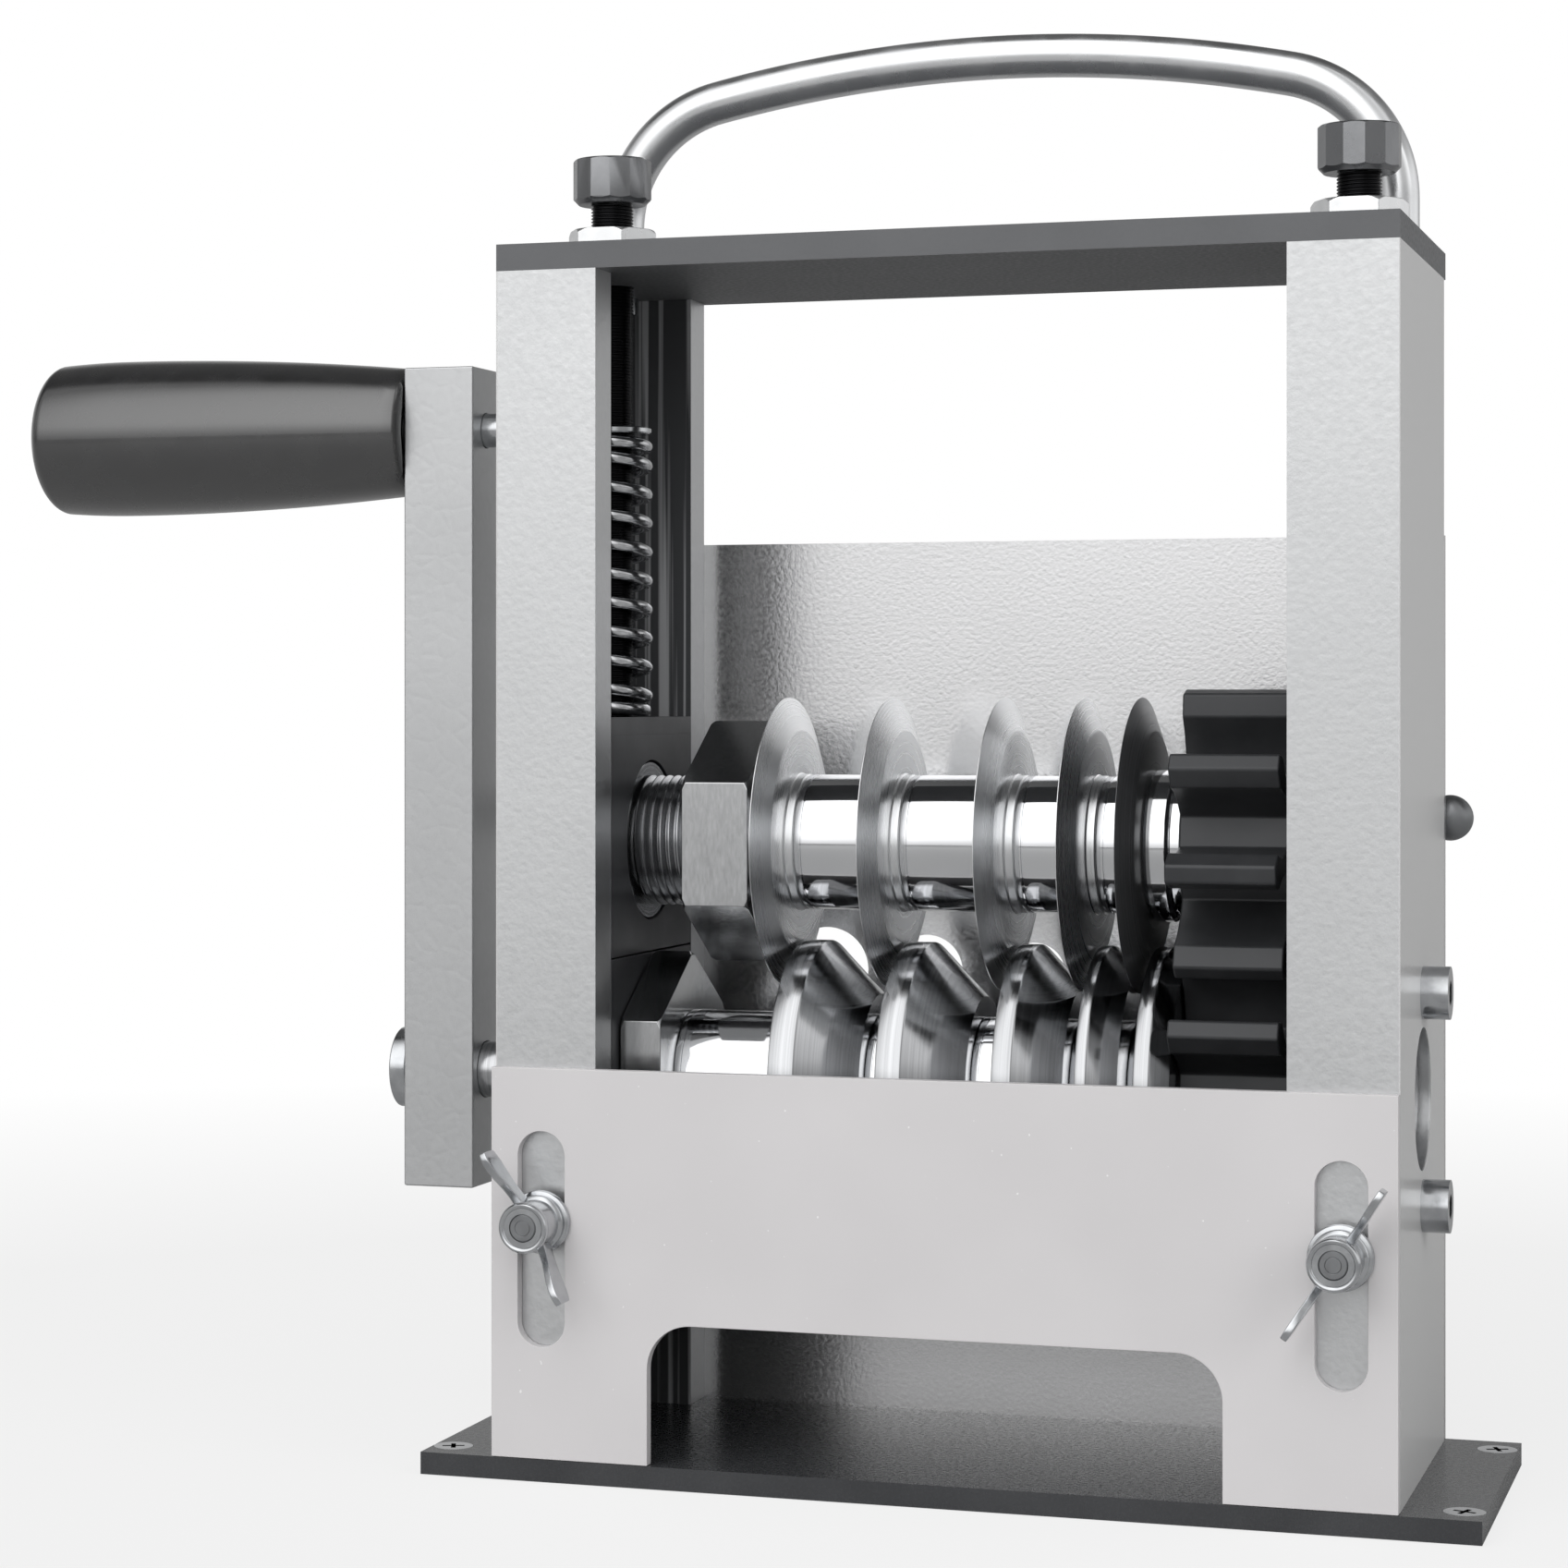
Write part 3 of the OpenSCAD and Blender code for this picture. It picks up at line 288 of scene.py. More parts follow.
# Milled aluminium bar, lightly brushed: pale, with a faint net of tool marks
def milledBar():
    tree, shader, place = newMaterial("milledAluminiumBar", "C6C7C8", 1.0, 0.36)
    dents = addNode(tree, "ShaderNodeTexVoronoi", {"Vector": place, "Scale": 1 / (4.5 * mm)},
                    feature="DISTANCE_TO_EDGE").outputs["Distance"]
    fine = grain(tree, place, 0.8, 3.0)
    tree.links.new(mixColours(tree, spread(tree, grain(tree, place, 25), 0, 1), "C0C1C2", "C9CACB"),
                   shader.inputs["Base Color"])
    tree.links.new(spread(tree, fine, 0.33, 0.4), shader.inputs["Roughness"])
    soft = spread(tree, dents, 0, 1, 0.0, 0.18)
    bumpFrom(tree, shader, fine, 0.012, under=bumpFrom(tree, shader, soft, 0.008))


# Forged nut with milled flats: bare bright faces with short fine scratches
def milledNut():
    tree, shader, place = newMaterial("milledHexNut", "C6C7C8", 1.0, 0.18)
    streaks = addNode(tree, "ShaderNodeMapping", {
        "Vector": place, "Rotation": (0.0, 0.7, 0.3), "Scale": (1.0, 1.0, 0.25)}).outputs["Vector"]
    scratches = grain(tree, streaks, 0.35, 4.0, 0.7)
    tree.links.new(mixColours(tree, spread(tree, scratches, 0, 1), "B9BABB", "C6C7C8"),
                   shader.inputs["Base Color"])
    tree.links.new(spread(tree, scratches, 0.14, 0.22), shader.inputs["Roughness"])
    bumpFrom(tree, shader, scratches, 0.004)


anodisedProfile()
enamelledPlate("greyEnamelFront", "C5C3C4", "C0BEBF", 0.0, 0.45, 0.8, 0.01)
enamelledPlate("greyEnamelRear", "DEDEDF", "DADADB", 0.9, 0.2, 0.5, 0.035)
powderCoat("powderCoatBase", "333436", "3A3B3D", 0.42, 0.26, 0.02)
powderCoat("powderCoatTopPlate", "5A5B5D", "5E5F61", 0.35, 0.5, 0.01)
polishedChrome("chromedHandle", "ECEDEE", 0.26)
polishedChrome("chromedSpacer", "D4D5D7", 0.06)
turnedSteel("groundBladeSteel", "F2F3F4", "EAEBEC", cutterZ, 1.0, 0.28, 0.002)
turnedSteel("blackTemperedBlade", "6A6B6D", "4E4F51", cutterZ, 0.7, 0.3, 0.004)
turnedSteel("turnedCutterShaft", "C9CACC", "9A9B9D", cutterZ, 1.0, 0.2, 0.004)
turnedSteel("turnedDriveShaft", "C9CACC", "9A9B9D", driveZ, 1.0, 0.2, 0.004)
turnedSteel("turnedFeedDisc", "BCBDBF", "A6A7A9", driveZ, 1.0, 0.14, 0.002)
blackOxide("blackOxideGear", "343537", "3C3D3F", 0.3, 0.4)
blackOxide("blackOxideBlock", "37383A", "424345", 0.3, 0.36)
# the screws' thread below the heads is painted near black as painted shade
blackOxide("burnishedScrew", "858688", "7B7C7E", 0.9, 0.24, threadShadeBelow=headLow * mm)
blackOxide("phosphatedRing", "3A3B3D", "4C4D50", 0.6, 0.26)
zincPlate("brightZincPlate", "C9CBCD", "B4B6B9", 0.16)
zincPlate("whiteZincNut", "EDEEEF", "E2E3E4", 0.3)
zincPlate("dullZincBar", "8E9092", "868789", 0.42)
springWire()
mouldedPhenolic()
milledBar()
milledNut()
print("materials made:", len(bpy.data.materials))


# Modelling helpers
def objectMode():
    if bpy.context.mode != "OBJECT":
        bpy.ops.object.mode_set(mode="OBJECT")


def onlySelect(*pieces):
    objectMode()
    bpy.ops.object.select_all(action="DESELECT")
    for piece in pieces:
        piece.select_set(True)
    bpy.context.view_layer.objects.active = pieces[-1]


def editAll(piece):
    onlySelect(piece)
    bpy.ops.object.mode_set(mode="EDIT")
    bpy.ops.mesh.select_mode(type="VERT")
    bpy.ops.mesh.select_all(action="SELECT")


# Selects only the faces that pass the test, and stays in edit mode
def pickFaces(piece, test):
    editAll(piece)
    bpy.ops.mesh.select_mode(type="FACE")
    bpy.ops.mesh.select_all(action="DESELECT")
    objectMode()
    for face in piece.data.polygons:
        face.select = test(face)
    bpy.ops.object.mode_set(mode="EDIT")


def useModifier(piece, kind, **settings):
    onlySelect(piece)
    modifier = piece.modifiers.new(kind.title(), kind)
    for key, value in settings.items():
        setattr(modifier, key, value)
    bpy.ops.object.modifier_apply(modifier=modifier.name)


# Rounds the hard edges, then shades smooth up to the given angle
def softenEdges(piece, width, segments=3, hardAngle=30, shadeAngle=35):
    useModifier(piece, "BEVEL", width=width * mm, segments=segments, limit_method="ANGLE",
                angle_limit=math.radians(hardAngle), use_clamp_overlap=True, miter_outer="MITER_ARC")
    shadeSmooth(piece, shadeAngle)
    useModifier(piece, "WEIGHTED_NORMAL", mode="FACE_AREA", weight=90, keep_sharp=True)


def shadeSmooth(piece, angle=35):
    onlySelect(piece)
    bpy.ops.object.shade_smooth_by_angle(angle=math.radians(angle))


# Names the piece, paints it, ties it to its body and hides the CAD nodes it stands for
def placePiece(piece, name, material, slotName, *cadNodes):
    objectMode()
    piece.name = name
    piece.data.name = name
    piece.data.materials.clear()
    piece.data.materials.append(bpy.data.materials[material])
    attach(piece, nodes[cadNodes[0]]["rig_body"])
    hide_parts(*cadNodes)


# A copy of a CAD node with its triangles merged into clean faces
def copyNode(nodeName, flatAngle=0.6):
    objectMode()
    source = nodes[nodeName]
    piece = bpy.data.objects.new(nodeName + "Copy", source.data.copy())
    scene.collection.objects.link(piece)
    editAll(piece)
    bpy.ops.mesh.remove_doubles(threshold=0.000002)
    bpy.ops.mesh.dissolve_limited(angle_limit=math.radians(flatAngle))
    objectMode()
    return piece


# Spins an outline of (distance along the axis, radius) pairs in millimetres round an axis
def spinOutline(outline, centre, axis="X", steps=96, edge=0.0):
    objectMode()
    bpy.ops.object.select_all(action="DESELECT")
    along = {"X": Vector((1, 0, 0)), "Y": Vector((0, 1, 0)), "Z": Vector((0, 0, 1))}[axis]
    across = Vector((0, 0, 1)) if axis != "Z" else Vector((1, 0, 0))
    points = [Vector(centre) + along * (a * mm) + across * (r * mm) for a, r in outline]
    bpy.ops.mesh.primitive_plane_add(size=0.001, location=points[0])
    piece = bpy.context.active_object
    bpy.ops.object.transform_apply(location=True, rotation=True, scale=True)
    editAll(piece)
    bpy.ops.mesh.merge(type="CENTER")
    closing = points[:1] if outline[0][1] > 0 else []      # an outline that starts on the axis stays open
    for before, after in zip(points, points[1:] + closing):
        bpy.ops.mesh.extrude_region_move(TRANSFORM_OT_translate={"value": after - before})
    bpy.ops.mesh.select_all(action="SELECT")
    bpy.ops.mesh.remove_doubles(threshold=0.000001)
    bpy.ops.mesh.spin(steps=steps, angle=2 * math.pi, center=Vector(centre), axis=along)
    bpy.ops.mesh.select_all(action="SELECT")
    bpy.ops.mesh.remove_doubles(threshold=0.000002)
    bpy.ops.mesh.normals_make_consistent(inside=False)
    objectMode()
    if edge:
        softenEdges(piece, edge, segments=2, hardAngle=20)
    else:
        shadeSmooth(piece)
    return piece


# A screw thread with a flat end, from low to high along its axis, in millimetres
def threadedRod(radius, pitch, low, high, centre, axis, steps=48):
    depth = 0.61 * pitch
    flank, crest, root = 0.4, 0.12, 0.08        # heights along the axis, in pitches
    start = low - 2 * pitch
    turns = int((high - low) / pitch) + 4
    objectMode()
    bpy.ops.object.select_all(action="DESELECT")
    bpy.ops.mesh.primitive_plane_add(size=0.001, location=((radius - depth) * mm, 0, start * mm))
    piece = bpy.context.active_object
    bpy.ops.object.transform_apply(location=True, rotation=True, scale=True)
    editAll(piece)
    bpy.ops.mesh.merge(type="CENTER")
    for out, up in ((depth, flank), (0, crest), (-depth, flank), (0, root)):
        bpy.ops.mesh.extrude_region_move(
            TRANSFORM_OT_translate={"value": (out * mm, 0, up * pitch * mm)})
    objectMode()
    useModifier(piece, "SCREW", angle=2 * math.pi, screw_offset=pitch * mm, iterations=turns, axis="Z",
                steps=steps, render_steps=steps, use_merge_vertices=True, merge_threshold=0.00001)
    editAll(piece)
    bpy.ops.mesh.remove_doubles(threshold=0.00001)
    for level, upper in ((high, True), (low, False)):
        bpy.ops.mesh.select_all(action="SELECT")
        bpy.ops.mesh.bisect(plane_co=(0, 0, level * mm), plane_no=(0, 0, 1), use_fill=True,
                            clear_outer=upper, clear_inner=not upper, threshold=0.0000001)
    bpy.ops.mesh.select_all(action="SELECT")
    bpy.ops.mesh.normals_make_consistent(inside=False)
    objectMode()
    turn = {"X": Matrix.Rotation(math.pi / 2, 4, "Y"), "Y": Matrix.Rotation(-math.pi / 2, 4, "X"),
            "Z": Matrix.Identity(4)}[axis]
    piece.data.transform(Matrix.Translation(Vector(centre)) @ turn)
    shadeSmooth(piece, 40)
    return piece


def joinPieces(*pieces):
    onlySelect(*pieces)
    bpy.ops.object.join()
    return bpy.context.active_object


def mirroredCopy(piece):
    onlySelect(piece)
    bpy.ops.object.duplicate()
    twin = bpy.context.active_object
    twin.data.transform(Matrix.Scale(-1, 4, Vector((1, 0, 0))))
    editAll(twin)
    bpy.ops.mesh.normals_make_consistent(inside=False)
    objectMode()
    return twin


# Plates, columns, blocks and other parts whose CAD shape only needs softer edges:
# node, material, slot, edge radius in millimetres
softened = {
    "base_plate": ("powderCoatBase", "powder_coat", 0.4),
    "top_plate": ("powderCoatTopPlate", "powder_coat", 0.4),
    "left_column": ("anodisedAluminiumProfile", "satin_aluminium", 0.35),
    "right_column": ("anodisedAluminiumProfile", "satin_aluminium", 0.35),
    "rear_plate": ("greyEnamelRear", "plate_steel", 0.3),
    "front_plate": ("greyEnamelFront", "plate_steel", 0.3),
    "base_screws": ("brightZincPlate", "zinc_plate", 0.12),
    "column_screws": ("brightZincPlate", "zinc_plate", 0.12),
    "top_plate_screws": ("brightZincPlate", "zinc_plate", 0.12),
    "rear_plate_screws": ("brightZincPlate", "zinc_plate", 0.12),
    "handle_screws": ("brightZincPlate", "zinc_plate", 0.15),
    "keeper_screws": ("brightZincPlate", "zinc_plate", 0.1),
    "rear_bar_posts": ("blackOxideBlock", "blackened_steel", 0.5),
    "lower_blocks": ("blackOxideBlock", "blackened_steel", 0.5),
    "upper_blocks": ("blackOxideBlock", "blackened_steel", 0.5),
    "keeper_plates": ("blackOxideBlock", "blackened_steel", 0.3),
    "adjuster_nuts": ("whiteZincNut", "zinc_plate", 0.2),
    "cutter_nut": ("milledHexNut", "ground_steel", 0.4),
    "drive_nut": ("milledHexNut", "ground_steel", 0.4),
    "cutter_snap_ring": ("phosphatedRing", "dark_blade_steel", 0.2),
    "drive_snap_ring": ("phosphatedRing", "dark_blade_steel", 0.2),
    "upper_gear": ("blackOxideGear", "blackened_steel", 0.45),
    "lower_gear": ("blackOxideGear", "blackened_steel", 0.45),
    "upper_key": ("brightZincPlate", "zinc_plate", 0.2),
    "lower_key": ("brightZincPlate", "zinc_plate", 0.2),
    "crank_arm": ("milledAluminiumBar", "satin_aluminium", 0.5),
    "crank_bolt": ("brightZincPlate", "zinc_plate", 0.4),
    "grip_spindle": ("brightZincPlate", "zinc_plate", 0.25),
}


def pieceName(nodeName):
    words = nodeName.split("_")
    return words[0] + "".join(word.capitalize() for word in words[1:])


for nodeName, (material, slotName, edge) in softened.items():
    piece = copyNode(nodeName)
    softenEdges(piece, edge)
    placePiece(piece, pieceName(nodeName), material, slotName, nodeName)
print("edges softened:", len(softened))


# Slitting blades: flat left side, ground bevel, small hub
blade = {"radius": 33.0, "thickness": 3.0, "bevelFrom": 25.5, "lip": 0.15, "hubRadius": 15.5, "hubWidth": 2.2}


def bladeOutline(hub):
    b = blade
    outline = [(0, shaftBore), (0, b["radius"] - 0.05), (0.05, b["radius"]), (b["lip"], b["radius"] - 0.02),
               (b["thickness"] - 0.1, b["bevelFrom"] + 0.15), (b["thickness"], b["bevelFrom"] - 0.15)]
    if hub:
        end = b["thickness"] + b["hubWidth"]
        outline += [(b["thickness"], b["hubRadius"] + 0.3), (b["thickness"] + 0.3, b["hubRadius"]),
                    (end - 0.3, b["hubRadius"]), (end, b["hubRadius"] - 0.3), (end, shaftBore)]
    else:
        outline += [(b["thickness"], shaftBore)]
    return outline


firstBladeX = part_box("blade_1")[0].x
firstBlade = spinOutline(bladeOutline(True), (firstBladeX, 0, cutterZ), steps=144)
for k in (1, 2, 3, 4):
    nodeName = "blade_%d" % k
    onlySelect(firstBlade)
    bpy.ops.object.duplicate()
    copied = bpy.context.active_object
    copied.data.transform(Matrix.Translation((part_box(nodeName)[0].x - firstBladeX, 0, 0)))
    placePiece(copied, "blade%d" % k, "groundBladeSteel", "ground_steel", nodeName)
bpy.data.objects.remove(firstBlade)
lastBlade = spinOutline(bladeOutline(False), (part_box("blade_5")[0].x, 0, cutterZ), steps=144)
placePiece(lastBlade, "blade5", "blackTemperedBlade", "dark_blade_steel", "blade_5")


# Feed discs: flat left side, straight rim with a small round, cone towards the groove. The last
# one stays clear of the upper gear
feedDisc = {"rimWidths": [6, 5.8, 4.4, 2.6, 3.5], "gearGap": 0.3}
for k, rimWidth in enumerate(feedDisc["rimWidths"]):
    nodeName = "feed_disc_%d" % (k + 1)
    low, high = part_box(nodeName)
    width = (high.x - low.x) / mm - (feedDisc["gearGap"] if k == 4 else 0)
    rim = high.z / mm - driveZ / mm
    end = rim - (width - rimWidth)
    outline = [(0, shaftBore), (0, rim - 0.5), (0.15, rim - 0.15), (0.5, rim), (rimWidth - 0.2, rim),
               (rimWidth, rim - 0.1), (rimWidth + 0.2, rim - 0.25), (width - 0.3, end + 0.3),
               (width, end), (width, shaftBore)]
    disc = spinOutline(outline, (low.x, 0, driveZ), steps=144)
    placePiece(disc, "feedDisc%d" % (k + 1), "turnedFeedDisc", "ground_steel", nodeName)
print("blades and discs turned")


# Polished spacers between the blades and between the discs, each with a shallow end groove
spacer = {"radius": 15.4, "chamfer": 0.4, "groove": 0.25}


def spacerOutline(width):
    r, c, g = spacer["radius"], spacer["chamfer"], spacer["groove"]
    ends = [(0, shaftBore), (0, r - c), (c * 0.3, r - c * 0.3), (c, r)]
    middlePart = [(1.6, r), (1.7, r - g), (1.9, r - g), (2.0, r)] if width > 6 else []
    return ends + middlePart + [(width - c, r), (width - c * 0.3, r - c * 0.3), (width, r - c),
                                (width, shaftBore)]


# Lowest and highest X of each loose part of a CAD node
def partSpans(nodeName):
    probe = copyNode(nodeName)
    onlySelect(probe)
    bpy.ops.object.mode_set(mode="EDIT")
    bpy.ops.mesh.select_all(action="SELECT")
    bpy.ops.mesh.separate(type="LOOSE")
    objectMode()
    loose = list(bpy.context.selected_objects)
    spans = sorted((min(v.co.x for v in o.data.vertices), max(v.co.x for v in o.data.vertices))
                   for o in loose)
    for o in loose:
        bpy.data.objects.remove(o)
    return spans


for nodeName, axisZ in (("cutter_spacers", cutterZ), ("feed_spacers", driveZ)):
    rings = [spinOutline(spacerOutline((x1 - x0) / mm), (x0, 0, axisZ), steps=128)
             for x0, x1 in partSpans(nodeName)]
    placePiece(joinPieces(*rings), pieceName(nodeName), "chromedSpacer", "polished_chrome", nodeName)


# Collar between the last blade and the gear: a chamfered flange, then a plain ring
collar = {"flange": 16.9, "flangeWidth": 5.6, "chamfer": 0.8, "ring": 15.4}
low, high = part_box("cutter_collar")
width = (high.x - low.x) / mm
c = collar
outline = [(0, shaftBore), (0, c["flange"] - c["chamfer"]), (c["chamfer"], c["flange"]),
           (c["flangeWidth"] - 0.7, c["flange"]), (c["flangeWidth"], c["flange"] - c["chamfer"]),
           (c["flangeWidth"], c["ring"] - 0.2), (c["flangeWidth"] + 0.25, c["ring"]), (width - 0.4, c["ring"]),
           (width, c["ring"] - 0.4), (width, shaftBore)]
collarPiece = spinOutline(outline, (low.x, 0, cutterZ), steps=128, edge=0.12)
placePiece(collarPiece, "cutterCollar", "chromedSpacer", "polished_chrome", "cutter_collar")


# Shafts: a turned bar with an M30 x 2 thread beside the left column. The drive shaft is thinner
# where the crank sits
shaft = {"bar": 12.5, "chamfer": 0.6, "thread": 15.0, "pitch": 2.0,
         "crankSeat": 6.5, "seatEnd": -102, "seatChamfer": 0.4}
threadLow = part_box("left_column")[1].x / mm + 0.3


# Adds the thread and the straight bar's right end to the left end that is given
def shaftPiece(leftEnd, barHigh, threadHigh, axisZ):
    outline = leftEnd + [(barHigh - shaft["chamfer"], shaft["bar"]), (barHigh, shaft["bar"] - shaft["chamfer"]),
                         (barHigh, 0)]
    bar = spinOutline(outline, (0, 0, axisZ), steps=96)
    thread = threadedRod(shaft["thread"], shaft["pitch"], threadLow, threadHigh, (0, 0, axisZ), "X", steps=96)
    return joinPieces(bar, thread)


low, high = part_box("cutter_shaft")
barLow = low.x / mm
leftEnd = [(barLow, 0), (barLow, shaft["bar"] - shaft["chamfer"]), (barLow + shaft["chamfer"], shaft["bar"])]
cutterPiece = shaftPiece(leftEnd, high.x / mm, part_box("cutter_spacers")[0].x / mm, cutterZ)
placePiece(cutterPiece, "cutterShaft", "turnedCutterShaft", "ground_steel", "cutter_shaft")

low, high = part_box("drive_shaft")
barLow = low.x / mm
leftEnd = [(barLow, 0), (barLow, shaft["crankSeat"] - shaft["seatChamfer"]),
           (barLow + shaft["seatChamfer"], shaft["crankSeat"]), (shaft["seatEnd"], shaft["crankSeat"]),
           (shaft["seatEnd"], shaft["bar"] - shaft["seatChamfer"]),
           (shaft["seatEnd"] + shaft["seatChamfer"], shaft["bar"])]
drivePiece = shaftPiece(leftEnd, high.x / mm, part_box("drive_nut")[1].x / mm, driveZ)
placePiece(drivePiece, "driveShaft", "turnedDriveShaft", "ground_steel", "drive_shaft")
print("shafts threaded")


# Adjusting screws: twelve-sided head, chamfered round its lower edge, on a fine thread
adjuster = {"headRadius": 9.1, "sides": 12, "chamfer": 1.3, "thread": 4.95, "ridge": 0.75,
            "shoulder": 7.0, "shoulderHeight": 3.0, "shoulderChamfer": 0.4}
low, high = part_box("right_adjuster")
headHigh = high.z / mm
shoulderLow = low.z / mm


def adjusterPiece():
    a = adjuster
    headTall = headHigh - headLow
    objectMode()
    bpy.ops.object.select_all(action="DESELECT")
    bpy.ops.mesh.primitive_cylinder_add(
        vertices=a["sides"], radius=a["headRadius"] * mm, depth=headTall * mm,
        location=(screwX, 0, (headLow + headHigh) / 2 * mm), rotation=(0, 0, math.pi / a["sides"]))
    head = bpy.context.active_object
    bpy.ops.object.transform_apply(location=True, rotation=True, scale=True)
    # the turned blank cuts the flats' lower ends to scallops and dishes the top
    blank = spinOutline([(-0.01, 0), (-0.01, a["headRadius"] - a["chamfer"]), (a["chamfer"], a["headRadius"] + 0.01),
                         (headTall - 0.5, a["headRadius"] + 0.01), (headTall + 0.01, a["headRadius"] - 0.6),
                         (headTall + 0.01, 0)], (screwX, 0, headLow * mm), axis="Z", steps=96)
    useModifier(head, "BOOLEAN", operation="INTERSECT", object=blank, solver="EXACT")
    bpy.data.objects.remove(blank)
    softenEdges(head, 0.15, segments=2, hardAngle=22, shadeAngle=18)
    rod = threadedRod(a["thread"], a["ridge"], shoulderLow + a["shoulderHeight"], headLow + 0.5,
                      (screwX, 0, 0), "Z", steps=48)
    c, r, h = a["shoulderChamfer"], a["shoulder"], a["shoulderHeight"]
    shoulder = spinOutline([(0, 0), (0, r - c), (c, r), (h - c, r), (h, r - c), (h, 0)],
                           (screwX, 0, shoulderLow * mm), axis="Z", steps=64)
    return joinPieces(head, rod, shoulder)


rightAdjuster = adjusterPiece()
leftAdjuster = mirroredCopy(rightAdjuster)
placePiece(rightAdjuster, "rightAdjuster", "burnishedScrew", "blackened_steel", "right_adjuster")
placePiece(leftAdjuster, "leftAdjuster", "burnishedScrew", "blackened_steel", "left_adjuster")


# Compression springs: round wire, one closed turn at each end and open turns between
spring = {"coil": 8.0, "wire": 1.5, "openTurns": 8.25, "endPitch": 3.6, "pointsPerTurn": 40}
springRing = {"bore": 5.05, "radius": 9.2, "chamfer": 0.3}
low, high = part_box("right_spring")
springLow, springHigh = low.z / mm + spring["wire"], high.z / mm - spring["wire"]
openPitch = (springHigh - springLow - 2 * spring["endPitch"]) / spring["openTurns"]
allTurns = spring["openTurns"] + 2


def wireHeight(turn):
    if turn < 1:
        return springLow + spring["endPitch"] * turn
    if turn < 1 + spring["openTurns"]:
        return springLow + spring["endPitch"] + openPitch * (turn - 1)
    return springHigh - spring["endPitch"] * (allTurns - turn)


def tubeAlong(points, radius, sides=4):
    curve = bpy.data.curves.new("wirePath", "CURVE")
    curve.dimensions = "3D"
    curve.bevel_depth = radius * mm
    curve.bevel_resolution = sides
    curve.use_fill_caps = True
    path = curve.splines.new("POLY")
    path.points.add(len(points) - 1)
    for point, place in zip(path.points, points):
        point.co = (*place, 1)
    piece = bpy.data.objects.new("wireTube", curve)
    scene.collection.objects.link(piece)
    onlySelect(piece)
    bpy.ops.object.convert(target="MESH")
    piece = bpy.context.active_object
    editAll(piece)
    bpy.ops.mesh.remove_doubles(threshold=0.000001)
    bpy.ops.mesh.normals_make_consistent(inside=False)
    objectMode()
    shadeSmooth(piece, 50)
    return piece


for side, name in ((-1, "left"), (1, "right")):
    steps = round(allTurns * spring["pointsPerTurn"])
    points = []
    for k in range(steps + 1):
        turn = allTurns * k / steps
        angle = 2 * math.pi * turn
        points.append((side * screwX + spring["coil"] * mm * math.cos(angle),
                       -spring["coil"] * mm * math.sin(angle), wireHeight(turn) * mm))
    placePiece(tubeAlong(points, spring["wire"]), name + "Spring", "drawnSpringWire", "spring_steel",
               name + "_spring")
    ringLow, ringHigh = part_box(name + "_spring_ring")
    height = (ringHigh.z - ringLow.z) / mm
    bore, r, c = springRing["bore"], springRing["radius"], springRing["chamfer"]
    ring = spinOutline([(0, bore), (0, r - c), (c, r), (height - c, r), (height, r - c), (height, bore)],
                       (side * screwX, 0, ringLow.z), axis="Z", steps=64)
    placePiece(ring, name + "SpringRing", "brightZincPlate", "zinc_plate", name + "_spring_ring")
print("springs wound")


# Carry handle: one bent chromed bar with two legs, round corners and a long flat arch
handle = {"bar": 5.0, "legX": 91.5, "legY": 24.0, "corner": 30.0, "arch": 320.0, "cornerSteps": 28, "archSteps": 48}
low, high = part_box("carry_handle")
archZ = high.z / mm - handle["bar"] - handle["arch"]
cornerX = handle["legX"] - handle["corner"]
cornerZ = archZ + math.sqrt((handle["arch"] - handle["corner"]) ** 2 - cornerX ** 2)
archHalf = math.asin(cornerX / (handle["arch"] - handle["corner"]))
halfPath = [(handle["legX"], low.z / mm + (cornerZ - low.z / mm) * k / 3) for k in range(3)]
for k in range(handle["cornerSteps"] + 1):
    angle = (math.pi / 2 - archHalf) * k / handle["cornerSteps"]
    halfPath.append((cornerX + handle["corner"] * math.cos(angle), cornerZ + handle["corner"] * math.sin(angle)))
middlePath = []
for k in range(1, handle["archSteps"]):
    angle = math.pi / 2 - archHalf + 2 * archHalf * k / handle["archSteps"]
    middlePath.append((handle["arch"] * math.cos(angle), archZ + handle["arch"] * math.sin(angle)))
fullPath = halfPath + middlePath + [(-x, z) for x, z in reversed(halfPath)]
handlePiece = tubeAlong([(x * mm, handle["legY"] * mm, z * mm) for x, z in fullPath], handle["bar"], sides=10)
placePiece(handlePiece, "carryHandle", "chromedHandle", "polished_chrome", "carry_handle")


# Grip: moulded barrel that swells near its outer end, which is a shallow dome round the recess
# for the spindle's head. Its inner end is dished
grip = {"belly": 18.7, "bellyAt": 0.22, "neck": 15.0, "length": 95.6, "endDeep": 5.2, "endFall": 0.6,
        "mouth": 7.8, "recess": 7.2, "recessDeep": 9.3, "spindle": 4.05}
g = grip
outline = [(g["recessDeep"], g["spindle"]), (g["recessDeep"], g["recess"]), (0.6, g["recess"]),
           (0.15, g["recess"] + 0.15)]
domeRise = g["belly"] - g["endFall"] - g["mouth"]
for k in range(17):                         # shallow dome from the recess's mouth to the barrel
    angle = math.pi / 2 * k / 16
    outline.append((g["endDeep"] * (1 - math.cos(angle)), g["mouth"] + domeRise * math.sin(angle)))
bellyX = g["length"] * g["bellyAt"]
for k in range(1, 7):                       # gentle rise from the rounded end to the belly
    t = k / 6
    outline.append((g["endDeep"] + (bellyX - g["endDeep"]) * t, g["belly"] - g["endFall"] * (1 - t) ** 2))
for k in range(1, 25):
    t = k / 24
    outline.append((bellyX + (g["length"] - 1 - bellyX) * t, g["belly"] - (g["belly"] - g["neck"]) * t * t))
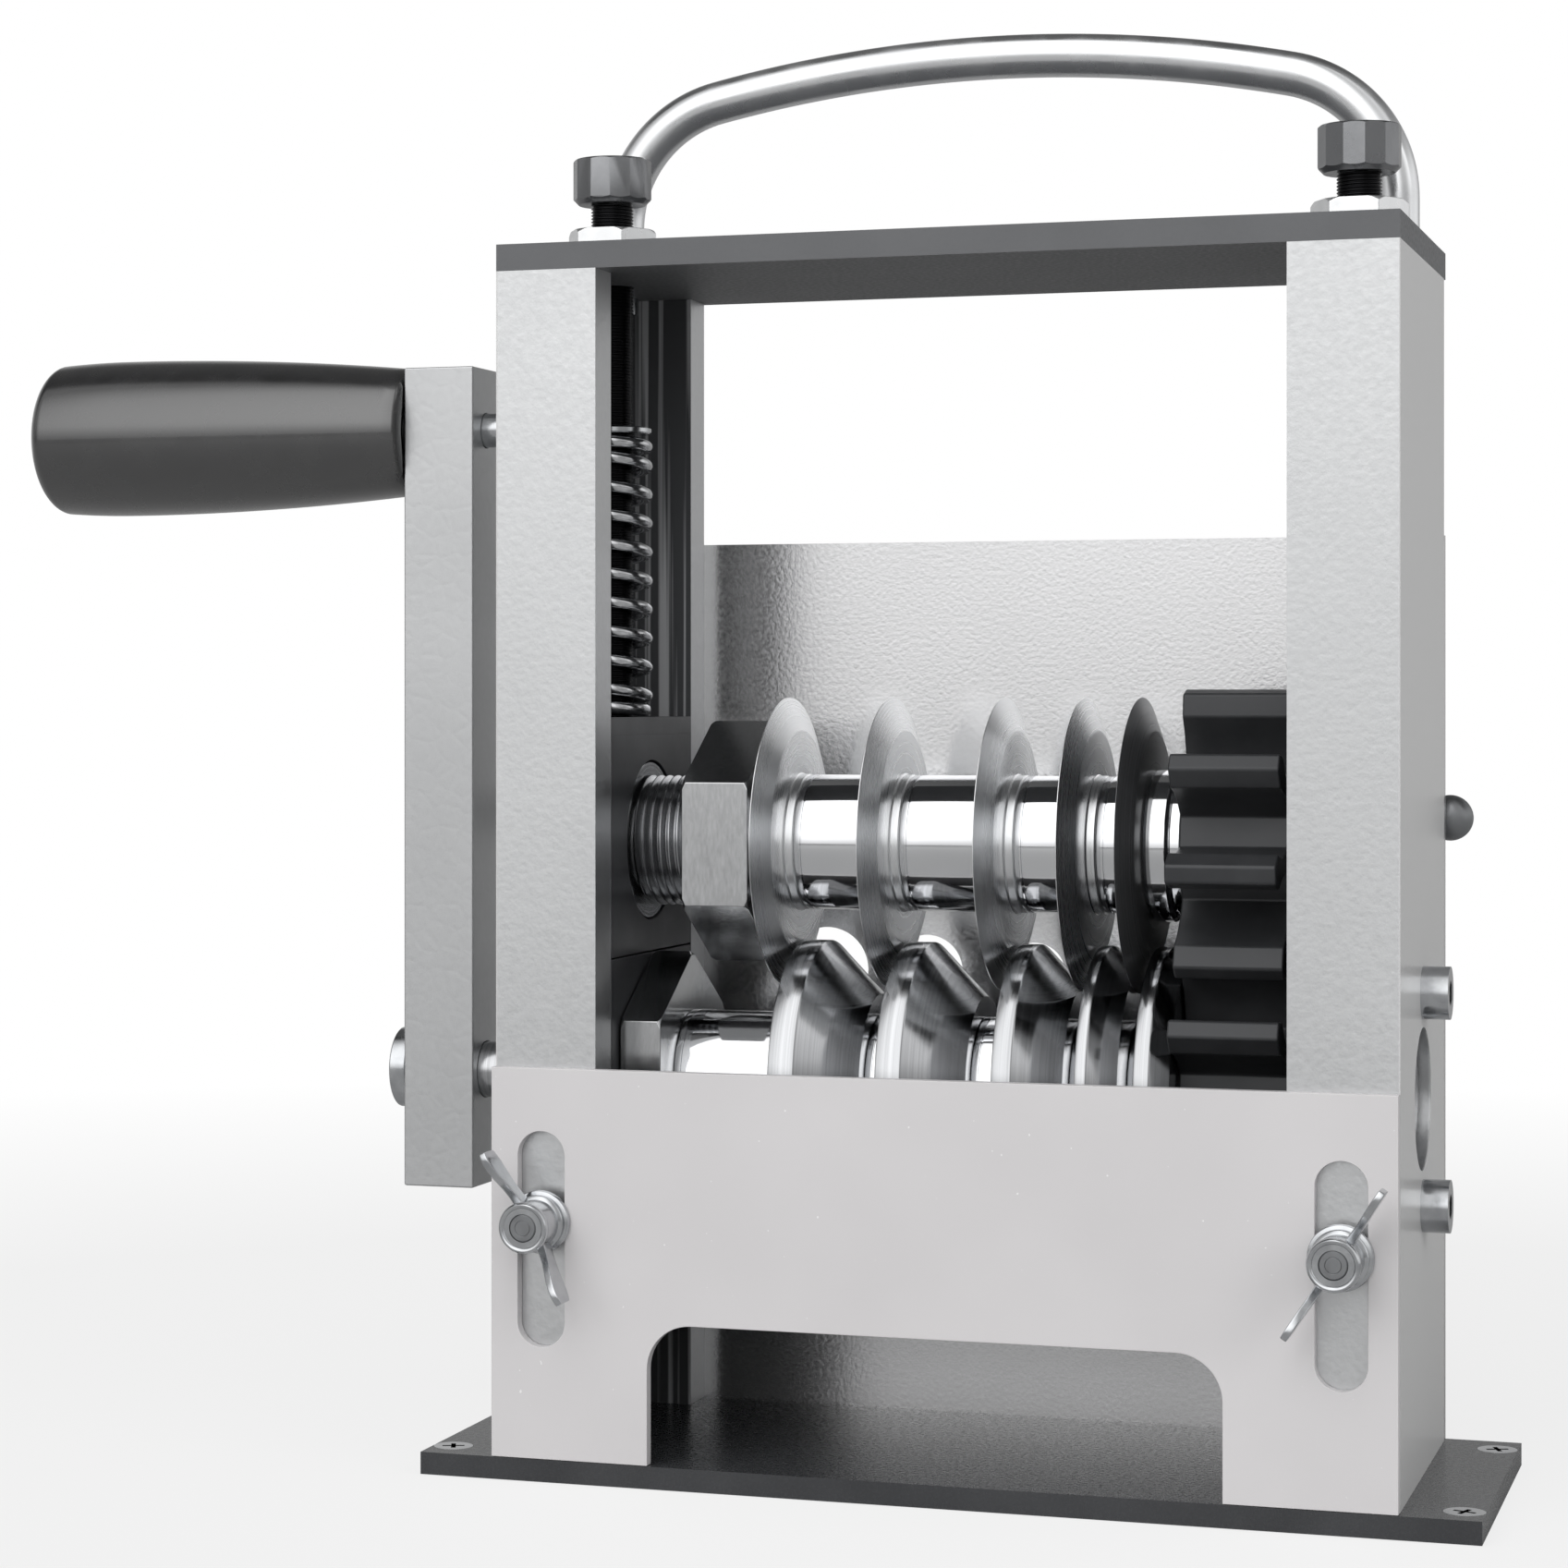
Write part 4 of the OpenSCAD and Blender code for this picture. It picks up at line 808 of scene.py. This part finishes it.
outline += [(g["length"] - 0.4, g["neck"] - 0.35), (g["length"], g["neck"] - 1), (g["length"], g["neck"] - 4),
            (g["length"] - 0.8, g["neck"] - 4.5), (g["length"] - 0.8, 8.0), (g["length"], 7.5),
            (g["length"], g["spindle"])]
gripPiece = spinOutline(outline, (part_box("grip")[0].x, 0, crankZ), steps=128)
placePiece(gripPiece, "gripBarrel", "mouldedPhenolicBlack", "black_grip", "grip")


# Side bolts: round caps with a socket, their edges rounder than those of the other fasteners
boltPiece = copyNode("block_bolts")
softenEdges(boltPiece, 0.6, segments=4)
placePiece(boltPiece, "blockBolts", "brightZincPlate", "zinc_plate", "block_bolts")


# Ball bearings: outer ring, recessed shield, inner ring, the same on both sides
bearing = {"outer": 18.45, "inner": 14.2}
# distance inwards from the bearing's side, and radius
shield = [(0, shaftBore), (0, bearing["inner"] - 0.2), (0.2, bearing["inner"]), (0.55, bearing["inner"]),
          (0.55, 14.5), (0.4, 14.7), (0.4, 16.6), (0.55, 16.8), (0.55, 17.0), (0.2, 17.0), (0, 17.2),
          (0, bearing["outer"] - 0.3), (0.3, bearing["outer"])]
rings = []
for x0, x1 in partSpans("lower_bearings"):
    width = (x1 - x0) / mm
    outline = shield + [(width - inwards, radius) for inwards, radius in reversed(shield)]
    rings.append(spinOutline(outline, (x0, 0, driveZ), steps=96))
placePiece(joinPieces(*rings), "lowerBearings", "turnedDriveShaft", "ground_steel", "lower_bearings")


# Bushes: plain rings with a lead-in at each end of the bore
bush = {"outer": 18.45, "chamfer": 0.5, "leadIn": 0.6}
rings = []
for x0, x1 in partSpans("bushes"):
    width = (x1 - x0) / mm
    r, c, lead = bush["outer"], bush["chamfer"], bush["leadIn"]
    outline = [(0, shaftBore + lead), (0, r - c), (c, r), (width - c, r), (width, r - c),
               (width, shaftBore + lead), (width - lead, shaftBore), (lead, shaftBore)]
    rings.append(spinOutline(outline, (x0, 0, cutterZ), steps=96))
placePiece(joinPieces(*rings), "cutterBushes", "turnedCutterShaft", "ground_steel", "bushes")


# Rear guide bar: a rod with a ball at each end, turned in one piece and zinc plated
guideBar = {"ball": 5.3, "rod": 4.0, "halfLength": 100.0, "neckAt": 0.72}      # neckAt: a share of the ball
barY, barZ = middle("rear_guide_bar").y, middle("rear_guide_bar").z
ballR, ballX = guideBar["ball"], -guideBar["halfLength"]
outline = [(ballX - ballR, 0)]
for k in range(1, 20):
    angle = math.pi * k / 24
    outline.append((ballX - ballR * math.cos(angle), ballR * math.sin(angle)))
outline += [(ballX + ballR * guideBar["neckAt"], guideBar["rod"])]
outline = outline + [(-a, r) for a, r in reversed(outline)]
guidePiece = spinOutline(outline, (0, barY, barZ), steps=64)
placePiece(guidePiece, "rearGuideBar", "dullZincBar", "zinc_plate", "rear_guide_bar")


# Studs of the front plate: plain behind the washer, an M6 thread where the wing nut runs, and a
# flat end with a fine turned ring
stud = {"radius": 3.0, "pitch": 1.0, "tip": 0.9, "ring": 1.7}
studs = []
low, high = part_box("guide_studs")
studX, studZ = middle("right_washer").x, middle("right_washer").z
studEnd, studRoot = low.y / mm, high.y / mm
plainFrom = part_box("right_washer")[1].y / mm
r = stud["radius"]
for side in (-1, 1):
    centre = (side * studX, 0, studZ)
    plain = spinOutline([(plainFrom, 0), (plainFrom, r - 0.2), (plainFrom + 0.2, r), (studRoot, r), (studRoot, 0)],
                        centre, axis="Y", steps=48)
    threaded = threadedRod(r, stud["pitch"], studEnd + stud["tip"], plainFrom + 0.3, centre, "Y", steps=40)
    tip = spinOutline([(studEnd, 0), (studEnd, stud["ring"] - 0.1), (studEnd + 0.08, stud["ring"]),
                       (studEnd, stud["ring"] + 0.1), (studEnd, r - 0.25), (studEnd + 0.25, r),
                       (studEnd + stud["tip"], r), (studEnd + stud["tip"] + 0.2, r - 0.3),
                       (studEnd + stud["tip"] + 0.2, 0)], centre, axis="Y", steps=64)
    studs += [plain, threaded, tip]
placePiece(joinPieces(*studs), "guideStuds", "dullZincBar", "zinc_plate", "guide_studs")


# Washers: punched ring whose front edge is rounded
washer = {"bore": 3.05, "radius": 7.0}
for name, side in (("left", -1), ("right", 1)):
    low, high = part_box(name + "_washer")
    t = (high.y - low.y) / mm
    bore, r = washer["bore"], washer["radius"]
    ring = spinOutline([(0, bore + 0.15), (0, r - 0.5), (0.15, r - 0.15), (0.5, r), (t - 0.1, r),
                        (t, r - 0.1), (t, bore)], (side * studX, low.y, studZ), axis="Y", steps=64)
    placePiece(ring, name + "Washer", "brightZincPlate", "zinc_plate", name + "_washer")


# Wing nuts: turned barrel with a bead at each end, two pressed wings that bend forward
wing = {"leftLean": 29.0, "rightLean": 33.0,
        # distance from the washer and radius, round the barrel's wall
        "barrel": [(0, 3.1), (0, 5.9), (0.3, 6.15), (1.3, 6.15), (1.6, 5.9), (1.9, 5.3), (8.5, 5.2),
                   (8.8, 5.5), (9.2, 5.65), (10.1, 5.65), (10.55, 5.45), (10.8, 5.1), (10.8, 4.8),
                   (10.6, 4.5), (10.4, 4.35), (10.4, 3.1)],
        # distance from the stud, distance from the washer, height of the wing, thickness there
        "stations": [(4.4, 3.3, 5.2, 2.3), (6.5, 4.1, 4.6, 1.9), (9.0, 5.5, 4.8, 1.7), (11.5, 7.0, 6.0, 1.7),
                     (13.8, 8.2, 7.2, 1.7), (16.6, 8.9, 7.4, 1.7), (18.6, 9.2, 5.6, 1.6)]}


def wingPiece():
    first = wing["stations"][0]
    objectMode()
    bpy.ops.object.select_all(action="DESELECT")
    bpy.ops.mesh.primitive_cube_add(size=1, location=(0, -first[1] * mm, (first[0] - 0.6) * mm),
                                    scale=(first[3] * mm, first[2] * mm, 1.2 * mm))
    piece = bpy.context.active_object
    bpy.ops.object.transform_apply(location=True, rotation=True, scale=True)
    pickFaces(piece, lambda face: face.normal.z > 0.9)
    for before, after in zip(wing["stations"], wing["stations"][1:]):
        bpy.ops.mesh.extrude_region_move(TRANSFORM_OT_translate={
            "value": (0, -(after[1] - before[1]) * mm, (after[0] - before[0]) * mm)})
        bpy.ops.transform.resize(value=(after[3] / before[3], after[2] / before[2], 1),
                                 center_override=(0, -after[1] * mm, after[0] * mm))
    objectMode()
    useModifier(piece, "BEVEL", width=0.3 * mm, segments=2, limit_method="ANGLE",
                angle_limit=math.radians(50))
    useModifier(piece, "SUBSURF", levels=2, render_levels=2)
    shadeSmooth(piece, 60)
    return piece


firstWing = wingPiece()
for name, side in (("left", -1), ("right", 1)):
    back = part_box(name + "_washer")[0].y - 0.1 * mm
    parts = [spinOutline([(-distance, radius) for distance, radius in wing["barrel"]],
                         (side * studX, back, studZ), axis="Y", steps=96)]
    for flip in (0, math.pi):
        onlySelect(firstWing)
        bpy.ops.object.duplicate()
        copied = bpy.context.active_object
        turn = Matrix.Rotation(side * math.radians(wing[name + "Lean"]) + flip, 4, "Y")
        copied.data.transform(Matrix.Translation((side * studX, back, studZ)) @ turn)
        parts.append(copied)
    placePiece(joinPieces(*parts), name + "WingNut", "brightZincPlate", "zinc_plate", name + "_wing_nut")
bpy.data.objects.remove(firstWing)
print("small parts made")


# Floor: a pale sheet that keeps the machine's shadow and fades into the white surroundings
stage = {"floor": "B4B4B4", "size": 12, "shadowShare": 0.2, "fadeFrom": 0.4, "fadeTo": 0.9,
         "mirrorShare": 0.12, "mirrorFrom": 0.5, "mirrorTo": 3}


def paleFloor():
    bpy.ops.object.select_all(action="DESELECT")
    bpy.ops.mesh.primitive_plane_add(size=stage["size"], location=(0, 0, -0.0002))
    floor = bpy.context.active_object
    bpy.ops.object.transform_apply(location=True, rotation=True, scale=True)
    floor.name = "floorSheet"
    material = bpy.data.materials.new("paleFloorSheet")
    material.use_nodes = True
    tree = material.node_tree
    tree.nodes.clear()
    place = addNode(tree, "ShaderNodeTexCoord").outputs["Object"]
    distance = addNode(tree, "ShaderNodeVectorMath", {0: place}, operation="LENGTH").outputs["Value"]
    paths = addNode(tree, "ShaderNodeLightPath").outputs
    seen = calculate(tree, "MULTIPLY", paths["Is Camera Ray"],
                     spread(tree, distance, 1 - stage["shadowShare"], 1, stage["fadeFrom"], stage["fadeTo"]))
    mirrored = calculate(tree, "MULTIPLY", calculate(tree, "MAXIMUM", paths["Is Glossy Ray"],
                                                     paths["Is Transmission Ray"]),
                         spread(tree, distance, 0, stage["mirrorShare"], stage["mirrorFrom"], stage["mirrorTo"]))
    diffuse = addNode(tree, "ShaderNodeBsdfDiffuse", {"Color": linearColour(stage["floor"])}).outputs[0]
    glow = addNode(tree, "ShaderNodeEmission", {"Color": (1, 1, 1, 1), "Strength": 1.0}).outputs[0]
    mixed = addNode(tree, "ShaderNodeMixShader", {
        0: calculate(tree, "MAXIMUM", seen, mirrored), 1: diffuse, 2: glow}).outputs[0]
    addNode(tree, "ShaderNodeOutputMaterial", {"Surface": mixed})
    floor.data.materials.append(material)


# World: white to the camera. For light and reflections it is a studio whose walls are pale and
# dark panels, given by their turn from the front in degrees and their brightness. Overhead, the
# brightness is multiplied by the front softbox's two levels or by the ceiling's
studio = {
    "panels": [(-180, 0.45), (-150, 0.6), (-130, 0.6), (-95, 0.32), (-65, 0.3), (-38, 0.9), (-12, 1.15),
               (14, 1.0), (38, 0.32), (60, 0.34), (88, 0.85), (125, 0.95), (152, 0.45), (180, 0.45)],
    "rampScale": 1.2, "softbox": (1.0, 2.1), "ceiling": (1.2, 0.25)}


def studioWorld():
    world = bpy.data.worlds.new("studio")
    scene.world = world
    world.use_nodes = True
    tree = world.node_tree
    tree.nodes.clear()
    direction = addNode(tree, "ShaderNodeTexCoord").outputs["Generated"]
    parts = addNode(tree, "ShaderNodeSeparateXYZ", {"Vector": direction}).outputs
    ahead = calculate(tree, "MULTIPLY", parts["Y"], -1.0)
    around = calculate(tree, "ARCTAN2", parts["X"], ahead)
    share = calculate(tree, "ADD", calculate(tree, "DIVIDE", around, 2 * math.pi), 0.5)
    walls = addNode(tree, "ShaderNodeValToRGB", {"Fac": share})
    stops = walls.color_ramp.elements
    for turn, level in studio["panels"][1:-1]:
        stops.new(0.5 + turn / 360)
    for stop, (turn, level) in zip(stops, studio["panels"]):
        stop.position = 0.5 + turn / 360
        stop.color = (*[level / studio["rampScale"]] * 3, 1)
    # a tall softbox in front, from the horizon nearly to the zenith, and a dim ceiling behind it
    softbox = calculate(tree, "MULTIPLY", spread(tree, parts["Z"], *studio["softbox"], 0.0, 0.25),
                        spread(tree, parts["Z"], 1, 0.2, 0.965, 0.985))
    ceiling = spread(tree, parts["Z"], *studio["ceiling"], 0.3, 0.6)
    front = spread(tree, ahead, 0, 1, 0.0, 0.12)
    overhead = addNode(tree, "ShaderNodeMix", {0: front, 2: ceiling, 3: softbox}).outputs[0]
    light = calculate(tree, "MULTIPLY", walls.outputs["Color"], overhead)
    paths = addNode(tree, "ShaderNodeLightPath").outputs
    level = addNode(tree, "ShaderNodeMix", {0: paths["Is Camera Ray"], 2: light, 3: 1.0}).outputs[0]
    background = addNode(tree, "ShaderNodeBackground", {"Color": (1, 1, 1, 1), "Strength": level}).outputs[0]
    addNode(tree, "ShaderNodeOutputWorld", {"Surface": background})


# Lamps: place, size in metres, watts. They light and shade the machine, and its metal mirrors
# only the studio
lamps = {"upperFrontSoftbox": ((-0.5, -1.6, 1.3), (1.8, 1.2), 14), "rightFill": ((1.5, -0.9, 0.7), (1.0, 1.0), 8)}
lampTarget = (0, 0, 0.15)


def softLamp(name, place, size, power):
    lamp = bpy.data.lights.new(name, "AREA")
    lamp.shape = "RECTANGLE"
    lamp.size, lamp.size_y = size
    lamp.energy = power
    holder = bpy.data.objects.new(name, lamp)
    scene.collection.objects.link(holder)
    holder.location = place
    holder.rotation_euler = (Vector(lampTarget) - Vector(place)).to_track_quat("-Z", "Y").to_euler()
    holder.visible_camera = False
    holder.visible_glossy = False


# Camera: fitted to the photograph's straight edges, image taken as 1697 x 1697
view = {"place": (0.1969, -0.8464, 0.1737), "yaw": 18.323, "focal": 4143.2, "centre": (675.3, 758.7),
        "image": 1697, "sensor": 36}


def photoCamera():
    lens = bpy.data.cameras.new("photoCamera")
    lens.sensor_width = view["sensor"]
    lens.lens = view["focal"] / view["image"] * view["sensor"]
    lens.shift_x = (view["image"] / 2 - view["centre"][0]) / view["image"]
    lens.shift_y = (view["centre"][1] - view["image"] / 2) / view["image"]
    lens.clip_start = 0.01
    lens.clip_end = 50
    holder = bpy.data.objects.new("photoCamera", lens)
    scene.collection.objects.link(holder)
    holder.location = view["place"]
    holder.rotation_euler = (math.pi / 2, 0, math.radians(view["yaw"]))
    scene.camera = holder


objectMode()
paleFloor()
studioWorld()
for lampName, settings in lamps.items():
    softLamp(lampName, *settings)
photoCamera()
scene.view_settings.view_transform = "Standard"
print("stage set")
